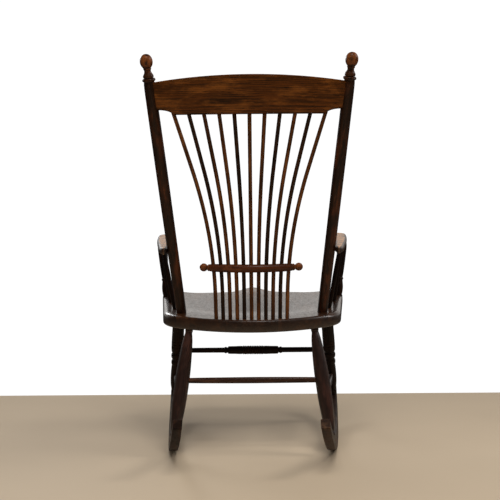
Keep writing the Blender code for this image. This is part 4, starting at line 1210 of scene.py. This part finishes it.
rocker_oak = oak("rocker_oak", "dark_oak", ((15, 8, 5), (46, 27, 16), (84, 54, 36)), (124, 92, 68),
                 gloss=0.46, coat=0.0, shine=0.14)
pin_oak = oak("pin_oak", "pin_oak", ((58, 32, 16), (110, 68, 36), (136, 88, 50)), (150, 100, 54), gloss=0.5,
              coat=0.0)
screw_steel = steel("screw_steel", "screw_steel")

SPINDLE_FINISHES = (spindle_mid, spindle_dark, spindle_warm, spindle_dark, spindle_warm, spindle_mid,
                    spindle_dark, spindle_mid, spindle_warm, spindle_dark, spindle_mid)

build_seat(seat_oak)
build_posts(post_oak)
build_crest(crest_oak)
build_spindles(SPINDLE_FINISHES)
build_spindle_rail(rail_oak)
build_arms(arm_oak)
# The arm uprights, the front legs and the front stretcher take the darker copy with its painted shade.
build_arm_uprights(dark_oak)
build_legs({"front": dark_oak, "rear": leg_oak})
build_stretchers(dark_oak, stretcher_oak, leg_oak)
build_rockers(rocker_oak)
build_pins(pin_oak)
build_screws(screw_steel)

# ---------------------------------------------------------------- floor, light and camera
FLOOR_FAR_Y = -0.79
FLOOR_NEAR_Y = 3.6
FLOOR_HALF_WIDTH = 3.2
FLOOR_TOP = -0.0002              # just under the rockers
FLOOR_THICKNESS = 0.02
FLOOR_LOW = linear(186, 166, 140)
FLOOR_HIGH = linear(200, 180, 153)
WALL_LIGHT = 0.95
ROOM_LIGHT = 0.04
WHITE = (1.0, 1.0, 1.0, 1.0)
WARM_WHITE = (1.0, 0.965, 0.92, 1.0)


def build_floor():
    t = new_tree("pale_floor")
    tone = t.noise(t.node("TexCoord", "Object"), 1.6, 3.0)
    t.shade(Base_Color=t.mix(FLOOR_LOW, FLOOR_HIGH, tone), Roughness=0.62, Specular_IOR_Level=0.25)
    corners = ((-FLOOR_HALF_WIDTH, FLOOR_FAR_Y), (FLOOR_HALF_WIDTH, FLOOR_FAR_Y),
               (FLOOR_HALF_WIDTH, FLOOR_NEAR_Y), (-FLOOR_HALF_WIDTH, FLOOR_NEAR_Y))
    points, faces = skin([[(x, y, z) for x, y in corners] for z in (FLOOR_TOP - FLOOR_THICKNESS, FLOOR_TOP)])
    mesh = bpy.data.meshes.new("floor")
    mesh.from_pydata(points.tolist(), [], faces)
    floor = bpy.data.objects.new("floor", mesh)
    bpy.context.scene.collection.objects.link(floor)
    mesh.materials.append(t.owner)


def build_world():
    """White to the camera; to the chair, a dark room with a bright band of wall in front of it."""
    world = bpy.data.worlds.new("studio")
    bpy.context.scene.world = world
    t = Tree(world)
    t.nodes.clear()
    _, y, z = t.separate(t.node("TexCoord", "Generated"))
    wall = t.between(y, -0.15, -0.60)
    band = t.between(z, 0.06, 0.20) * t.between(z, 0.72, 0.46)
    strength = ROOM_LIGHT + wall * band * (WALL_LIGHT - ROOM_LIGHT)
    seen = t.node("Background", 0, {"Color": WHITE, "Strength": 1.05})
    glow = t.node("Background", 0, {"Color": WARM_WHITE, "Strength": strength})
    to_camera = t.node("LightPath", "Is Camera Ray")
    surface = t.node("MixShader", 0, {0: to_camera, 1: glow, 2: seen})
    t.links.new(surface.socket, t.nodes.new("ShaderNodeOutputWorld").inputs["Surface"])


def add_softbox(name, place, aim, width, height, power, colour=(1.0, 1.0, 1.0), mirrored=True):
    light = bpy.data.lights.new(name, "AREA")
    light.shape = "RECTANGLE"
    light.size = width
    light.size_y = height
    light.energy = power
    light.color = colour
    obj = bpy.data.objects.new(name, light)
    obj.location = place
    obj.rotation_euler = (Vector(aim) - Vector(place)).to_track_quat("-Z", "Y").to_euler()
    obj.visible_camera = False
    obj.visible_glossy = mirrored
    bpy.context.scene.collection.objects.link(obj)


CAMERA_PLACE = (-0.0297, 2.9105, 0.6717)
CAMERA_YAW = math.radians(0.671)
CAMERA_PITCH = math.radians(2.182)
CAMERA_ROLL = math.radians(-0.496)
FOCAL_PIXELS = 1011.1
PICTURE_SIDE = 500
SENSOR_WIDTH = 36.0


def build_camera():
    data = bpy.data.cameras.new("camera")
    data.sensor_width = SENSOR_WIDTH
    data.lens = SENSOR_WIDTH * FOCAL_PIXELS / PICTURE_SIDE
    data.clip_start = 0.05
    camera = bpy.data.objects.new("camera", data)
    turn = Matrix.Rotation(math.pi + CAMERA_YAW, 4, "Z")
    tip = Matrix.Rotation(math.pi / 2 - CAMERA_PITCH, 4, "X")
    roll = Matrix.Rotation(CAMERA_ROLL, 4, "Z")
    camera.matrix_world = Matrix.Translation(CAMERA_PLACE) @ turn @ tip @ roll
    bpy.context.scene.collection.objects.link(camera)
    bpy.context.scene.camera = camera


build_floor()
build_world()
add_softbox("front_top", (-0.2, 1.9, 2.9), (0.0, 0.0, 0.55), 2.0, 1.4, 60.0, mirrored=False)
add_softbox("overhead", (-0.25, 1.15, 2.75), (0.0, 0.0, 0.5), 0.6, 0.5, 9.0)
add_softbox("window_left", (1.15, -1.85, 1.75), (0.0, 0.0, 0.8), 0.7, 0.5, 11.0, (0.96, 0.98, 1.0))
add_softbox("window_right", (-2.3, 0.2, 2.4), (0.0, 0.1, 0.6), 0.8, 1.0, 26.0)
add_softbox("camera_side", (0.9, 3.6, 1.2), (0.0, 0.0, 0.6), 1.8, 1.6, 18.0, (1.0, 0.97, 0.93),
            mirrored=False)
build_camera()
bpy.context.scene.view_settings.view_transform = "Standard"
